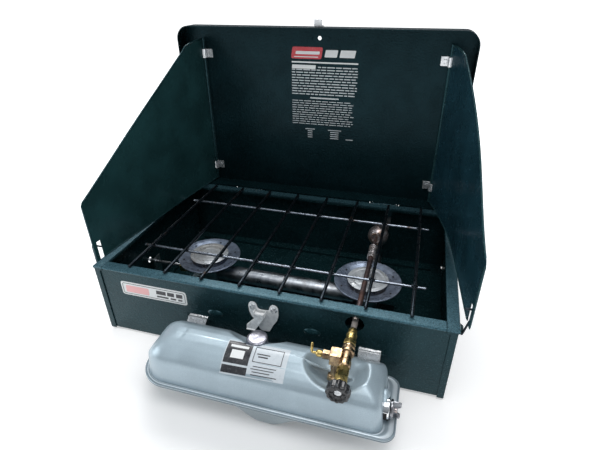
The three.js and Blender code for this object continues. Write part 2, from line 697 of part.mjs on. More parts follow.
function auxValveBody() {
  const body = bar([auxStart, BURNER_Y, GAS_Z], [auxBodyEnd, BURNER_Y, GAS_Z], 8, 20);
  const collar = bar([auxBodyEnd + 8, BURNER_Y, GAS_Z], [auxBodyEnd, BURNER_Y, GAS_Z], 9.5, 6);
  const bore = bar([auxBodyEnd + 9, BURNER_Y, GAS_Z], [auxBodyEnd - 1, BURNER_Y, GAS_Z], 3.1, 16);
  return body.add(collar).subtract(bore);
}

function auxRodBracket() {
  const x = -214;
  const plate = box(x - SHEET, x, BURNER_Y - 8, BURNER_Y + 8, floorTop + GAP, GAS_Z + 9);
  const foot = box(x - SHEET, x + 3, BURNER_Y - 8, BURNER_Y + 8, floorTop + GAP, floorTop + GAP + SHEET);
  return plate.add(foot).subtract(bar([x - 5, BURNER_Y, GAS_Z], [x + 5, BURNER_Y, GAS_Z], 3.2, 16));
}

const auxRodEnd = -halfW - 6;

// The lever hangs outside the left end panel, points forward when it is shut and
// has a small paddle at its free end.
function auxValveLever() {
  const x0 = auxRodEnd - GAP - 2;
  const arm = box(x0, x0 + 2, BURNER_Y - 44, BURNER_Y, GAS_Z - 4, GAS_Z + 4);
  const hub = bar([x0 - 1, BURNER_Y, GAS_Z], [x0 + 2, BURNER_Y, GAS_Z], 6.5, 20);
  const paddle = box(x0 - 8, x0 + 2, BURNER_Y - 46, BURNER_Y - 44, GAS_Z - 5, GAS_Z + 5);
  return union([arm, hub, paddle]);
}

addTo(stove, 'aux_valve_body', auxValveBody(), brass);
addTo(stove, 'aux_valve_rod',
  bar([auxBodyEnd + 6, BURNER_Y, GAS_Z], [auxRodEnd, BURNER_Y, GAS_Z], 2.6, 14), zinc);
addTo(stove, 'aux_rod_bracket', auxRodBracket(), zinc);
addTo(stove, 'aux_valve_lever', auxValveLever(), zinc);

// ---- fuel tank -------------------------------------------------------------

const SEAM_LIP = 5.5;
const END_LEDGE = 9;
const tankLeft = TANK_X - TANK_W / 2;
const tankRight = TANK_X + TANK_W / 2;
const tankFront = TANK_Y - TANK_D / 2;
const tankBack = TANK_Y + TANK_D / 2;
const POCKET = { x: 109, y: -188, z: 92, rx: 38, ry: 34, rz: 36 };

function tankPlan(inset) {
  return roundedShape(tankLeft + inset, tankRight - inset, tankFront + inset, tankBack - inset,
    Math.max(36 - inset, 4), Math.max(14 - inset, 4));
}

// A dome over the tank's plan: straight walls up to a rounded shoulder.
function dome(inset, height, shoulder, run) {
  const options = {
    depth: 2 * (height - shoulder), bevelEnabled: true, bevelThickness: shoulder, bevelSize: run,
    bevelOffset: -run, bevelSegments: 4, curveSegments: 5,
  };
  const domeRight = tankRight - END_LEDGE - inset;
  const plan = roundedShape(tankLeft + inset, domeRight, tankFront + inset, tankBack - inset, 33, 24);
  const both = solidOf(new THREE.ExtrudeGeometry(plan, options).translate(0, 0, -(height - shoulder)));
  return both.intersect(box(-400, 400, -400, 0, 0, 200));
}

function dents(grow) {
  const recess = ellipsoid(8, -143, 88, 46 + grow, 40 + grow, 37.5 + grow, 20);
  const seat = bar([CAP.x, CAP.y, CAP.seatZ - grow], [CAP.x, CAP.y, 90], 15.5 + grow, 24);
  const pocket = ellipsoid(POCKET.x, POCKET.y, POCKET.z, POCKET.rx + grow, POCKET.ry + grow, POCKET.rz + grow, 24);
  const shoulder = ellipsoid(142, -142, 92, 34 + grow, 30 + grow, 32 + grow, 16);
  return union([recess, seat, pocket, shoulder]);
}

const PUMP = { y: -201, z: 44.2, sleeveR: 12, r: 9.2, bore: 8, start: 114 };
const SUMP = { left: -7, bottomLeft: 30, bottomRight: 42, right: 79, inset: 3.5, depth: SEAM_Z - 3 };

function tankUpper() {
  const height = TANK_TOP_Z - SEAM_Z;
  const skin = dome(SEAM_LIP, height, 22, 22).translate([0, 0, SEAM_Z]).subtract(dents(0));
  const inside = dome(SEAM_LIP + TANK_SHEET, height - TANK_SHEET, 21, 21).translate([0, 0, SEAM_Z])
    .subtract(dents(TANK_SHEET));
  const lip = slab(tankPlan(0), SEAM_Z + 0.2, SEAM_Z + 1.4).subtract(inside);
  const cut = box(-400, 400, -400, 0, 0, SEAM_Z + 0.2);
  const pumpHole = bar([tankRight - 40, PUMP.y, PUMP.z], [tankRight + 5, PUMP.y, PUMP.z],
    PUMP.sleeveR + GAP, 24);
  const boss = box(tankRight - 17.5, tankRight - 10, PUMP.y + 2, PUMP.y + 17, SEAM_Z + 1, PUMP.z + 14);
  const neckHole = bar([CAP.x, CAP.y, 40], [CAP.x, CAP.y, 70], 9.3, 20);
  const riserHole = bar([VALVE.riserX, VALVE.y, 40], [VALVE.riserX, VALVE.y, 70], 5.8, 16);
  return skin.subtract(inside).add(boss).add(lip).subtract(cut)
    .subtract(union([pumpHole, neckHole, riserHole]));
}

// The lower shell is shallow, with one deep sump across it that nearly reaches the table.
function tankLower() {
  const shallow = SEAM_Z - 17;
  const half = (grow) => {
    const step = new THREE.Shape();
    step.moveTo(SUMP.left + 1.8 * grow, 0);
    step.lineTo(SUMP.right - 1.8 * grow, 0);
    step.lineTo(SUMP.bottomRight, SUMP.depth);
    step.lineTo(SUMP.bottomLeft, SUMP.depth);
    const sump = dome(SUMP.inset + grow, SUMP.depth - grow, 5, 3).intersect(panel(step, -400, 0));
    return dome(SEAM_LIP + grow, shallow - grow, 8, 8).add(sump);
  };
  const flip = (solid) => solid.mirror([0, 0, 1]).translate([0, 0, SEAM_Z]);
  const inside = flip(half(TANK_SHEET));
  const lip = slab(tankPlan(0), SEAM_Z - 1.4, SEAM_Z - 0.2).subtract(inside);
  const cut = box(-400, 400, -400, 0, SEAM_Z - 0.2, 80);
  return flip(half(0)).subtract(inside).add(lip).subtract(cut);
}

// A hanger is a folded strap: it leaves the tank's back, slopes up to the case and
// ends in a tongue that drops into a slot in the front.
function hanger(side) {
  const x = TANK_X + side * HANGER_SPREAD;
  const backY = tankBack - SEAM_LIP + GAP;
  const tongue = { front: -halfD - 3, back: -halfD + 6 };
  const shape = new THREE.Shape();
  shape.moveTo(backY, SEAM_Z + 2.5);
  shape.lineTo(backY, SEAM_Z + 11);
  shape.lineTo(tongue.front, HANGER_Z + SHEET);
  shape.lineTo(tongue.back, HANGER_Z + SHEET);
  shape.lineTo(tongue.back, HANGER_Z);
  shape.lineTo(tongue.front + 0.6, HANGER_Z);
  shape.lineTo(backY + SHEET, SEAM_Z + 10.4);
  shape.lineTo(backY + SHEET, SEAM_Z + 2.5);
  return strip(shape, x - 13, x + 13);
}

// ---- valve, control knob and generator -------------------------------------

const VALVE = { riserX: 107, y: -190, blockLeft: 101 };
const NUT_BACK = -203.5;
const NUT_FRONT = -223;
const KNOB_R = 12.4;
const KNOB_FRONT = -237.2;
const KNOB_BACK = -225.2;

function hexAlongY(radius, y0, y1) {
  return bar([GENERATOR_X, y0, GENERATOR_Z], [GENERATOR_X, y1, GENERATOR_Z], radius, 6);
}

function barAlongY(radius, y0, y1, sides = 20) {
  return bar([GENERATOR_X, y0, GENERATOR_Z], [GENERATOR_X, y1, GENERATOR_Z], radius, sides);
}

function valveBody() {
  const barrel = barAlongY(6.6, NUT_BACK + GAP, -172.3, 16);
  const collar = barAlongY(7.4, -184, -179, 16);
  const block = box(VALVE.blockLeft, 113, VALVE.y - 7, VALVE.y + 7, GENERATOR_Z - 7, GENERATOR_Z + 7);
  const arm = bar([VALVE.blockLeft + 1, VALVE.y, GENERATOR_Z], [93, VALVE.y, GENERATOR_Z], 5, 6);
  const bore = bar([88, VALVE.y, GENERATOR_Z], [104, VALVE.y, GENERATOR_Z], 2.2, 12);
  return union([barrel, collar, block, arm]).subtract(bore);
}

function lightingLever() {
  const z = GENERATOR_Z;
  const points = [[103, VALVE.y, z], [81, VALVE.y, z], [81, VALVE.y + 4, z + 10]];
  const hub = bar([92.5, VALVE.y, z], [86, VALVE.y, z], 3.6, 12);
  return wire(points, 1.5, 2.5, 16).add(hub);
}

function generatorNut() {
  const profile = [[3.9, -172], [5.6, -172], [5.6, -158], [4.9, -147], [3.9, -147], [3.9, -172]];
  const cone = turnedAlongY(profile, GENERATOR_X, GENERATOR_Z, 16);
  const hex = hexAlongY(7.2, -172, -164).subtract(barAlongY(4.5, -175, -160));
  return cone.add(hex);
}

function generatorTube() {
  const profile = [[0, -171], [3.5, -171], [3.5, 38], [2.4, 44], [1.2, 60], [0, 60]];
  return turnedAlongY(profile, GENERATOR_X, GENERATOR_Z, 12);
}

class Coil extends THREE.Curve {
  constructor(radius, turns, start, length) {
    super();
    Object.assign(this, { radius, turns, start, length });
  }

  getPoint(t) {
    const angle = 2 * Math.PI * this.turns * t;
    return new THREE.Vector3(
      GENERATOR_X + this.radius * Math.cos(angle),
      this.start + this.length * t,
      GENERATOR_Z + this.radius * Math.sin(angle),
    );
  }
}

function generatorCoil() {
  const turns = 7;
  const path = new Coil(5, turns, 0, 32);
  const options = { steps: turns * 9, extrudePath: path, bevelEnabled: false, curveSegments: 3 };
  return solidOf(new THREE.ExtrudeGeometry(disc(1.1), options));
}

// The knob's edge is fluted for the fingers.
function controlKnob() {
  const [y0, y1] = [KNOB_FRONT, KNOB_BACK];
  let knob = barAlongY(KNOB_R, y0, y1, 36);
  for (let i = 0; i < 12; i += 1) {
    const angle = i * Math.PI / 6;
    const x = GENERATOR_X + (KNOB_R + 1) * Math.cos(angle);
    const z = GENERATOR_Z + (KNOB_R + 1) * Math.sin(angle);
    knob = knob.subtract(bar([x, y0 - 1, z], [x, y1 + 1, z], 2.4, 8));
  }
  return knob.subtract(barAlongY(8.6, y0 - 1, y0 + 2.5, 20)).subtract(barAlongY(2.5, y0, y1 + 1, 12));
}

function controlStem() {
  const headBack = KNOB_FRONT + 4;
  const shank = barAlongY(2.1, headBack, NUT_BACK - 4, 12);
  return shank.add(barAlongY(4, headBack - 1.2, headBack, 12));
}

const screwRoom = barAlongY(4.4, KNOB_FRONT - 4, KNOB_FRONT + 4.3, 16);

addTo(stove, 'tank_upper_shell', tankUpper(), tankPaint);
addTo(stove, 'tank_lower_shell', tankLower(), tankPaint);
addTo(stove, 'tank_hanger_left', hanger(-1), zinc);
addTo(stove, 'tank_hanger_right', hanger(1), zinc);
addTo(stove, 'valve_riser', bar([VALVE.riserX, VALVE.y, 50], [VALVE.riserX, VALVE.y, 83.7], 5.5, 16), darkSteel);
addTo(stove, 'pickup_tube', bar([VALVE.riserX, VALVE.y, 20], [VALVE.riserX, VALVE.y, 49.7], 2, 10), zinc);
addTo(stove, 'valve_body', valveBody(), agedBrass);
const nutBore = barAlongY(2.5, NUT_FRONT - 1, NUT_BACK + 1, 12);
addTo(stove, 'packing_nut', hexAlongY(7, NUT_FRONT, NUT_BACK).subtract(nutBore), brass);
addTo(stove, 'control_stem', controlStem(), zinc);
addTo(stove, 'control_knob', controlKnob().subtract(screwRoom), blackPlastic);
addTo(stove, 'generator_nut', generatorNut(), brass);
addTo(stove, 'generator_tube', generatorTube(), heatedSteel);
addTo(stove, 'generator_coil', generatorCoil(), heatedSteel);
addTo(stove, 'lighting_lever', lightingLever(), agedBrass);

// ---- filler cap ------------------------------------------------------------

function fuelCap() {
  const profile = [[0, 70.4], [10, 70.4], [10, 60.5], [12.6, 60.5], [12.6, 73], [11.6, 74], [0, 74]];
  return turned(profile, CAP.x, CAP.y, 28);
}

addTo(stove, 'filler_neck',
  turned([[7, 50], [9, 50], [9, 68], [7, 68], [7, 50]], CAP.x, CAP.y, 20), zinc);
addTo(stove, 'cap_gasket',
  turned([[4, 68.3], [9, 68.3], [9, 70], [4, 70], [4, 68.3]], CAP.x, CAP.y, 20), rubber);
addTo(stove, 'fuel_cap', fuelCap(), chrome);

// ---- air pump --------------------------------------------------------------

const pumpEnd = tankRight - 9;

function pumpBarrel() {
  const { y, z, start } = PUMP;
  const tube = bar([start, y, z], [pumpEnd, y, z], PUMP.r, 24);
  const sleeve = bar([pumpEnd - 12, y, z], [pumpEnd, y, z], PUMP.sleeveR, 24);
  const bore = bar([start + 2, y, z], [pumpEnd + 1, y, z], PUMP.bore, 20);
  const airHole = bar([start - 1, y, z], [start + 3, y, z], 1.5, 8);
  const slot = box(pumpEnd - 9, pumpEnd + 1, y - 14, y - 5, z - 2, z + 2);
  const turnSlot = box(pumpEnd - 9, pumpEnd - 5, y - 14, y - 4, z - 8, z + 2);
  return tube.add(sleeve).subtract(bore).subtract(airHole).subtract(slot).subtract(turnSlot);
}

function pumpHandle() {
  const x0 = pumpEnd + 0.6;
  const cap = bar([x0, PUMP.y, PUMP.z], [x0 + 4, PUMP.y, PUMP.z], 10, 20);
  const web = box(x0 + 3.5, x0 + 11, PUMP.y - 1, PUMP.y + 1, PUMP.z - 12, PUMP.z + 12);
  const holes = [-8.5, 8.5].map((dz) => bar([x0 + 7.6, PUMP.y - 5, PUMP.z + dz],
    [x0 + 7.6, PUMP.y + 5, PUMP.z + dz], 1.3, 10));
  return cap.add(web).subtract(union(holes));
}

addTo(stove, 'pump_barrel', pumpBarrel(), chrome);
const cupEnd = PUMP.start + 12;
addTo(stove, 'pump_rod', bar([cupEnd + GAP, PUMP.y, PUMP.z], [pumpEnd + GAP, PUMP.y, PUMP.z], 2.6, 12), zinc);
addTo(stove, 'pump_cup', bar([PUMP.start + 4, PUMP.y, PUMP.z], [cupEnd, PUMP.y, PUMP.z], 7.6, 16), leather);
addTo(stove, 'pump_handle', pumpHandle(), zinc);

export default stove;
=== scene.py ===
import json
import math
import random

import bmesh
import bpy
import numpy as np
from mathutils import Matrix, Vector


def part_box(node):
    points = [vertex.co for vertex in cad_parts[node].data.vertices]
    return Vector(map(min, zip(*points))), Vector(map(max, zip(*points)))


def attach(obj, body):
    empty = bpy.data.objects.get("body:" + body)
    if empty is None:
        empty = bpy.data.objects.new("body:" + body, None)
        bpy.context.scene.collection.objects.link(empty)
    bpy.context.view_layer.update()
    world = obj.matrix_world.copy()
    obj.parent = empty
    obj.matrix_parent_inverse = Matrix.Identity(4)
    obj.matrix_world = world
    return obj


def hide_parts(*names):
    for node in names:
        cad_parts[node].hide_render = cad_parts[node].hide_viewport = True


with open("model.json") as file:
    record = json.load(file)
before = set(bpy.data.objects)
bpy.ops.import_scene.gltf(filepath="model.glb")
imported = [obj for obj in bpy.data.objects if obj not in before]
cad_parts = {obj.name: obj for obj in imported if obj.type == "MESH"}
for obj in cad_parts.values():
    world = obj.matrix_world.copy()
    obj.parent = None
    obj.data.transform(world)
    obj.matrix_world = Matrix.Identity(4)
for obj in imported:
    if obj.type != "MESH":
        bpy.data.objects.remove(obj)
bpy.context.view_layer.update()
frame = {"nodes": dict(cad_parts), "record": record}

MM = 0.001
random.seed(11)

# ---------------------------------------------------------------- camera

camera_data = bpy.data.cameras.new("camera")
camera_data.sensor_width = 36.0
camera_data.lens = 25.45
camera_data.clip_start = 0.01
camera = bpy.data.objects.new("camera", camera_data)
camera.location = (0.16025, -0.50244, 0.43065)
camera.rotation_euler = [math.radians(v) for v in (60.12, 0.48, 15.89)]
bpy.context.scene.collection.objects.link(camera)
bpy.context.scene.camera = camera

# ---------------------------------------------------------------- node helpers


class Shade:
    """A Principled material and the few texture steps that the finishes share."""

    def __init__(self, name, **sockets):
        self.material = bpy.data.materials.new(name)
        self.material.use_nodes = True
        self.tree = self.material.node_tree
        self.bsdf = self.tree.nodes["Principled BSDF"]
        self.place = self.node("ShaderNodeTexCoord").outputs["Object"]
        self.normal = None
        for socket, value in sockets.items():
            self.bsdf.inputs[socket.replace("_", " ")].default_value = value

    def node(self, kind, **settings):
        made = self.tree.nodes.new(kind)
        for key, value in settings.items():
            setattr(made, key, value)
        return made

    def link(self, source, target):
        self.tree.links.new(source, target)

    def feed(self, socket, value):
        if hasattr(value, "is_linked"):
            self.link(value, socket)
        else:
            socket.default_value = value

    def stretched(self, scale):
        mapping = self.node("ShaderNodeMapping")
        mapping.inputs["Scale"].default_value = scale
        self.link(self.place, mapping.inputs["Vector"])
        return mapping.outputs["Vector"]

    def noise(self, scale, detail=3.0, rough=0.55, stretch=None, distortion=0.0):
        made = self.node("ShaderNodeTexNoise")
        made.inputs["Scale"].default_value = scale
        made.inputs["Detail"].default_value = detail
        made.inputs["Roughness"].default_value = rough
        made.inputs["Distortion"].default_value = distortion
        self.link(self.stretched(stretch) if stretch else self.place, made.inputs["Vector"])
        return made.outputs["Fac"]

    def cells(self, scale):
        made = self.node("ShaderNodeTexVoronoi")
        made.inputs["Scale"].default_value = scale
        self.link(self.place, made.inputs["Vector"])
        return made.outputs["Distance"]

    def span(self, value, low, high, to_low=0.0, to_high=1.0):
        made = self.node("ShaderNodeMapRange")
        made.interpolation_type = "SMOOTHSTEP"
        self.link(value, made.inputs["Value"])
        for key, number in zip(("From Min", "From Max", "To Min", "To Max"), (low, high, to_low, to_high)):
            made.inputs[key].default_value = number
        return made.outputs["Result"]

    def math(self, operation, a, b=0.0):
        made = self.node("ShaderNodeMath", operation=operation)
        self.feed(made.inputs[0], a)
        self.feed(made.inputs[1], b)
        return made.outputs[0]

    def times(self, a, b):
        return self.math("MULTIPLY", a, b)

    def plus(self, a, b):
        return self.math("ADD", a, b)

    def mix(self, factor, a, b):
        made = self.node("ShaderNodeMix", data_type="RGBA")
        self.feed(made.inputs["Factor"], factor)
        for socket, value in ((made.inputs[6], a), (made.inputs[7], b)):
            self.feed(socket, value if hasattr(value, "is_linked") else (*value[:3], 1.0))
        return made.outputs[2]

    def axis(self, name):
        split = self.node("ShaderNodeSeparateXYZ")
        self.link(self.place, split.inputs[0])
        return split.outputs[name]

    def distance_to(self, x, y):
        """How far a place on the piece is from the upright line through x, y, in metres."""
        along, across = self.math("SUBTRACT", self.axis("X"), x), self.math("SUBTRACT", self.axis("Y"), y)
        return self.math("SQRT", self.plus(self.times(along, along), self.times(across, across)))

    def bump(self, height, distance, strength=1.0):
        made = self.node("ShaderNodeBump")
        made.inputs["Strength"].default_value = strength
        made.inputs["Distance"].default_value = distance
        self.link(height, made.inputs["Height"])
        if self.normal is not None:
            self.link(self.normal, made.inputs["Normal"])
        self.normal = made.outputs["Normal"]

    def done(self, colour, roughness=None):
        self.feed(self.bsdf.inputs["Base Color"], colour)
        if roughness is not None:
            self.feed(self.bsdf.inputs["Roughness"], roughness)
        if self.normal is not None:
            self.link(self.normal, self.bsdf.inputs["Normal"])
        return self.material


def scaled(colour, by):
    return tuple(by * c for c in colour)


# ---------------------------------------------------------------- finishes


def painted_rim_highlight(s):
    """A pale, speckled painted highlight along the top edge of the case, strongest at the front, standing in
    for the orange peel catching the light above the lid.
    """
    height, depth = s.axis("Z"), s.axis("Y")
    band = s.times(s.span(height, RIM_Z - 0.0034, RIM_Z - 0.0020),
                   s.span(height, RIM_Z, RIM_Z + 0.001, 1.0, 0.0))
    band = s.times(band, s.span(depth, -0.12, 0.02, 1.0, 0.45))
    return s.times(band, s.span(s.noise(760, 3), 0.36, 0.66, 0.25, 0.95))


def enamel(name, base, pale, peel=0.0003, dust=0.25, highlight_speck=0.22, shine=0.36, rim_highlight=False):
    """Sprayed enamel: a glossy coat with orange peel, soft waves, fine dust and small chips, with pale specks
    of painted highlight and, where asked, a painted highlight along the case's rim.
    """
    s = Shade(name, Coat_Weight=0.04, Coat_Roughness=0.2, Specular_IOR_Level=shine)
    s.bsdf.inputs["Specular Tint"].default_value = (0.36, 0.80, 0.98, 1.0)
    colour = s.mix(s.span(s.noise(22, 5), 0.3, 0.7), base, scaled(base, 0.62))
    # pale specks of painted highlight, standing in for the orange peel catching the lamps
    colour = s.mix(s.times(s.span(s.noise(620, 2), 0.58, 0.70), highlight_speck), colour, pale)
    # painted highlight along the case's top edge
    if rim_highlight:
        colour = s.mix(painted_rim_highlight(s), colour, RIM_HIGHLIGHT_COLOUR)
    film = s.span(s.noise(9, 6, 0.65, distortion=0.4), 0.52, 0.80, 0.0, dust)
    colour = s.mix(film, colour, pale)
    chips = s.times(s.span(s.cells(38), 0.018, 0.030, 1.0, 0.0), s.span(s.noise(60, 2), 0.60, 0.66))
    colour = s.mix(chips, colour, (0.16, 0.15, 0.14))
    s.bump(s.noise(9, 2), 0.004, 0.25)
    s.bump(s.noise(430, 2, 0.5), peel, 1.0)
    return s.done(colour, s.plus(s.span(s.noise(45, 4), 0.3, 0.75, 0.17, 0.34), s.times(film, 0.5)))


def plated(name, base, shade, rough=(0.22, 0.42), scratches=0.5, stain=(0.18, 0.14, 0.10), stained=0.35,
           metallic=1.0):
    """Zinc-plated or bare sheet and bar: spangle, fine scratches, and dull brown stains."""
    s = Shade(name, Metallic=metallic)
    spangle = s.span(s.noise(160, 3), 0.35, 0.68)
    colour = s.mix(spangle, base, shade)
    marks = s.span(s.noise(1, 3, 0.6, stretch=(1900, 260, 900)), 0.60, 0.70, 0.0, scratches)
    colour = s.mix(marks, colour, tuple(min(1.0, 1.25 * c) for c in base))
    spots = s.span(s.noise(75, 6, 0.7), 0.56, 0.72, 0.0, stained)
    colour = s.mix(spots, colour, stain)
    roughness = s.span(s.noise(95, 4), 0.3, 0.7, *rough)
    roughness = s.plus(roughness, s.times(spots, 0.5))
    s.bump(s.noise(240, 3), 0.00008, 0.6)
    s.bump(s.noise(1, 2, 0.5, stretch=(1500, 220, 700)), 0.00004, 0.6)
    return s.done(colour, roughness)


SEAM_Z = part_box("tank_upper_shell")[0][2] / MM - 0.2
SEAM_SHADE_AND_HIGHLIGHT = (  # height in mm, half width in metres and colour of the painted lines along the welded seam: two dark lines of painted shade in its creases and a pale line of painted highlight on its bead
    (SEAM_Z + 1.8, 0.0005, (0.16, 0.20, 0.23)),
    (SEAM_Z - 0.4, 0.0004, (0.16, 0.20, 0.23)),
    (SEAM_Z + 0.7, 0.0009, (0.86, 0.92, 0.96)),
)


def tank_finish(name, base, pale):
    """Silver-blue metallic lacquer: fine flake, hazed patches, hairline scratches and a few grey rubs, with
    painted shade and painted highlight lines along the seam.
    """
    s = Shade(name, Metallic=0.38, Coat_Weight=0.35, Coat_Roughness=0.16)
    flake = s.span(s.noise(2600, 1), 0.36, 0.66)
    colour = s.mix(flake, base, pale)
    haze = s.span(s.noise(17, 5, 0.6), 0.35, 0.72)
    colour = s.mix(s.times(haze, 0.28), colour, scaled(base, 0.72))
    rubs = s.span(s.noise(130, 6, 0.75), 0.66, 0.76, 0.0, 0.6)
    colour = s.mix(rubs, colour, (0.22, 0.23, 0.24))
    lines = s.span(s.noise(1, 4, 0.6, stretch=(120, 900, 700)), 0.66, 0.74, 0.0, 0.30)
    colour = s.mix(lines, colour, scaled(pale, 1.3))
    # painted shade and painted highlight lines along the seam
    for z, half, tone in SEAM_SHADE_AND_HIGHLIGHT:
        off = s.math("ABSOLUTE", s.math("SUBTRACT", s.axis("Z"), z * MM))
        colour = s.mix(s.span(off, 0.4 * half, half, 0.6, 0.0), colour, tone)
    roughness = s.span(s.noise(38, 4), 0.3, 0.7, 0.34, 0.50)
    s.bump(s.noise(26, 3), 0.0016, 0.3)
    s.bump(s.noise(900, 2), 0.00006, 0.8)
    return s.done(colour, roughness)


def burner_steel(name, centre, tint, base=(0.60, 0.62, 0.66), shade=(0.42, 0.45, 0.50), metallic=1.0):
    """Spun stainless: turned rings round the burner's axis, straw and blue heat tint, and soot flecks."""
    s = Shade(name, Metallic=metallic)
    far = s.distance_to(*centre)
    rings = s.math("SINE", s.times(far, 9000.0))
    colour = s.mix(s.span(s.noise(120, 5), 0.3, 0.7), base, shade)
    warm = s.span(s.noise(30, 4, 0.6), 0.42, 0.66, 0.0, tint)
    colour = s.mix(warm, colour, (0.46, 0.33, 0.20))
    hole_shade_black = s.span(s.noise(260, 6, 0.75), 0.60, 0.72, 0.0, 0.8)
    colour = s.mix(hole_shade_black, colour, (0.05, 0.045, 0.045))
    roughness = s.span(s.noise(80, 4), 0.3, 0.7, 0.22, 0.45)
    s.bump(rings, 0.00004, 0.5)
    s.bump(s.noise(320, 3), 0.00012, 0.5)
    return s.done(colour, roughness)


def brass_finish(name, bright, tarnish, amount):
    s = Shade(name, Metallic=1.0)
    patch = s.span(s.noise(140, 6, 0.65), 0.36, 0.64)
    colour = s.mix(s.times(patch, amount), bright, tarnish)
    dark = s.span(s.noise(420, 5, 0.7), 0.58, 0.70, 0.0, 0.75)
    colour = s.mix(dark, colour, scaled(tarnish, 0.30))
    roughness = s.span(s.noise(180, 4), 0.3, 0.7, 0.20, 0.44)
    s.bump(s.noise(600, 3), 0.00008, 0.8)
    s.bump(s.noise(1, 2, 0.5, stretch=(2400, 160, 2400)), 0.00003, 0.6)
    return s.done(colour, roughness)


def iron_finish(name, base, rust, cover, rough=(0.32, 0.55), near=None):
    """Dark bar and tube: blue-black scale with brown rust that gathers in patches."""
    s = Shade(name, Metallic=0.85)
    scale = s.span(s.noise(190, 5), 0.3, 0.7)
    colour = s.mix(scale, base, scaled(base, 1.9))
    patch = s.span(s.noise(60, 6, 0.7), 0.60 - 0.25 * cover, 0.74 - 0.18 * cover)
    colour = s.mix(patch, colour, rust)
    if near is not None:
        colour = near(s, colour)
    roughness = s.plus(s.span(s.noise(150, 4), 0.3, 0.7, *rough), s.times(patch, 0.2))
    s.bump(s.noise(500, 4), 0.00015, 0.7)
    return s.done(colour, roughness)


def forward_steel(s, colour):
    """The generator stays clean and pale where it is outside the case, away from the flame."""
    return s.mix(s.span(s.axis("Y"), -0.136, -0.120, 1.0, 0.0), colour, (0.52, 0.47, 0.44))


def chrome_finish():
    s = Shade("chrome_plate", Metallic=1.0)
    pits = s.span(s.noise(380, 5, 0.7), 0.60, 0.72, 0.0, 0.6)
    colour = s.mix(pits, (0.80, 0.82, 0.84), (0.22, 0.19, 0.16))
    roughness = s.plus(s.span(s.noise(60, 4), 0.3, 0.7, 0.06, 0.16), s.times(pits, 0.35))
    s.bump(s.noise(420, 3), 0.00004, 0.6)
    return s.done(colour, roughness)


def plastic_finish():
    s = Shade("black_moulding", Specular_IOR_Level=0.5)
    dust = s.span(s.noise(300, 6, 0.7), 0.50, 0.74, 0.0, 0.55)
    colour = s.mix(dust, (0.012, 0.013, 0.015), (0.20, 0.22, 0.24))
    roughness = s.plus(s.span(s.noise(140, 4), 0.3, 0.7, 0.22, 0.36), s.times(dust, 0.4))
    s.bump(s.noise(900, 3), 0.00006, 0.7)
    return s.done(colour, roughness)


def soft_finish(name, base, rough):
    s = Shade(name)
    colour = s.mix(s.span(s.noise(300, 5), 0.3, 0.7), base, scaled(base, 0.5))
    s.bump(s.noise(700, 4), 0.0001, 0.8)
    return s.done(colour, s.span(s.noise(200, 3), 0.3, 0.7, rough - 0.1, rough + 0.1))


def ink(name, base, rough=0.35):
    """Printed label stock: slightly faded and rubbed."""
    s = Shade(name)
    fade = s.span(s.noise(420, 6, 0.7), 0.48, 0.76, 0.0, 0.30)
    colour = s.mix(fade, base, tuple(0.5 * c + 0.30 for c in base))
    s.bump(s.noise(260, 2), 0.00005, 0.5)
    return s.done(colour, s.span(s.noise(120, 3), 0.3, 0.7, rough - 0.08, rough + 0.12))


RIM_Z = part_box("case_tray")[1][2]
# Colour of the painted highlight on the case's top edge.
RIM_HIGHLIGHT_COLOUR = (0.070, 0.150, 0.190)
enamel_out = enamel("enamel_outside", (0.0055, 0.0225, 0.0255), (0.075, 0.145, 0.165), peel=0.00036,
                    dust=0.08,
                    highlight_speck=0.45, rim_highlight=True)
enamel_in = enamel("enamel_inside", (0.0022, 0.0050, 0.0065), (0.030, 0.036, 0.040), dust=0.10)
# A darker, less shiny copy of the case enamel for the lid: painted shade.
enamel_lid_shaded = enamel("enamel_lid_shaded", (0.0036, 0.0145, 0.0175), (0.040, 0.085, 0.10), peel=0.0004, dust=0.04,
                    highlight_speck=0.1, shine=0.17)
# Lit and shaded copies of one enamel: the left baffle's base is painted lighter and the right one's darker
# and bluer, as painted light and shade.
enamel_baffle_lit_and_shaded = {
    side: enamel(f"enamel_baffle_lit_and_shaded_{side}", base, (0.05, 0.10, 0.11), peel=0.00014, dust=0.05, highlight_speck=0.1,
                 shine=0.25)
    for side, base in (("left", (0.018, 0.062, 0.066)), ("right", (0.010, 0.037, 0.052)))
}
enamel_hem = enamel("enamel_hem", (0.012, 0.040, 0.044), (0.12, 0.20, 0.22), dust=0.15, highlight_speck=0.4)
tank_lacquer = tank_finish("tank_lacquer", (0.335, 0.425, 0.485), (0.44, 0.54, 0.60))
# A darker copy of the tank lacquer for the lower shell: painted shade under the seam.
tank_lacquer_shaded = tank_finish("tank_lacquer_painted_shade", (0.27, 0.33, 0.36), (0.35, 0.41, 0.44))
zinc = plated("zinc_plate", (0.60, 0.62, 0.64), (0.42, 0.44, 0.46))
zinc_bright = plated("zinc_bright", (0.74, 0.76, 0.78), (0.58, 0.60, 0.62), (0.18, 0.34), 0.5, stained=0.15,
                     metallic=0.7)
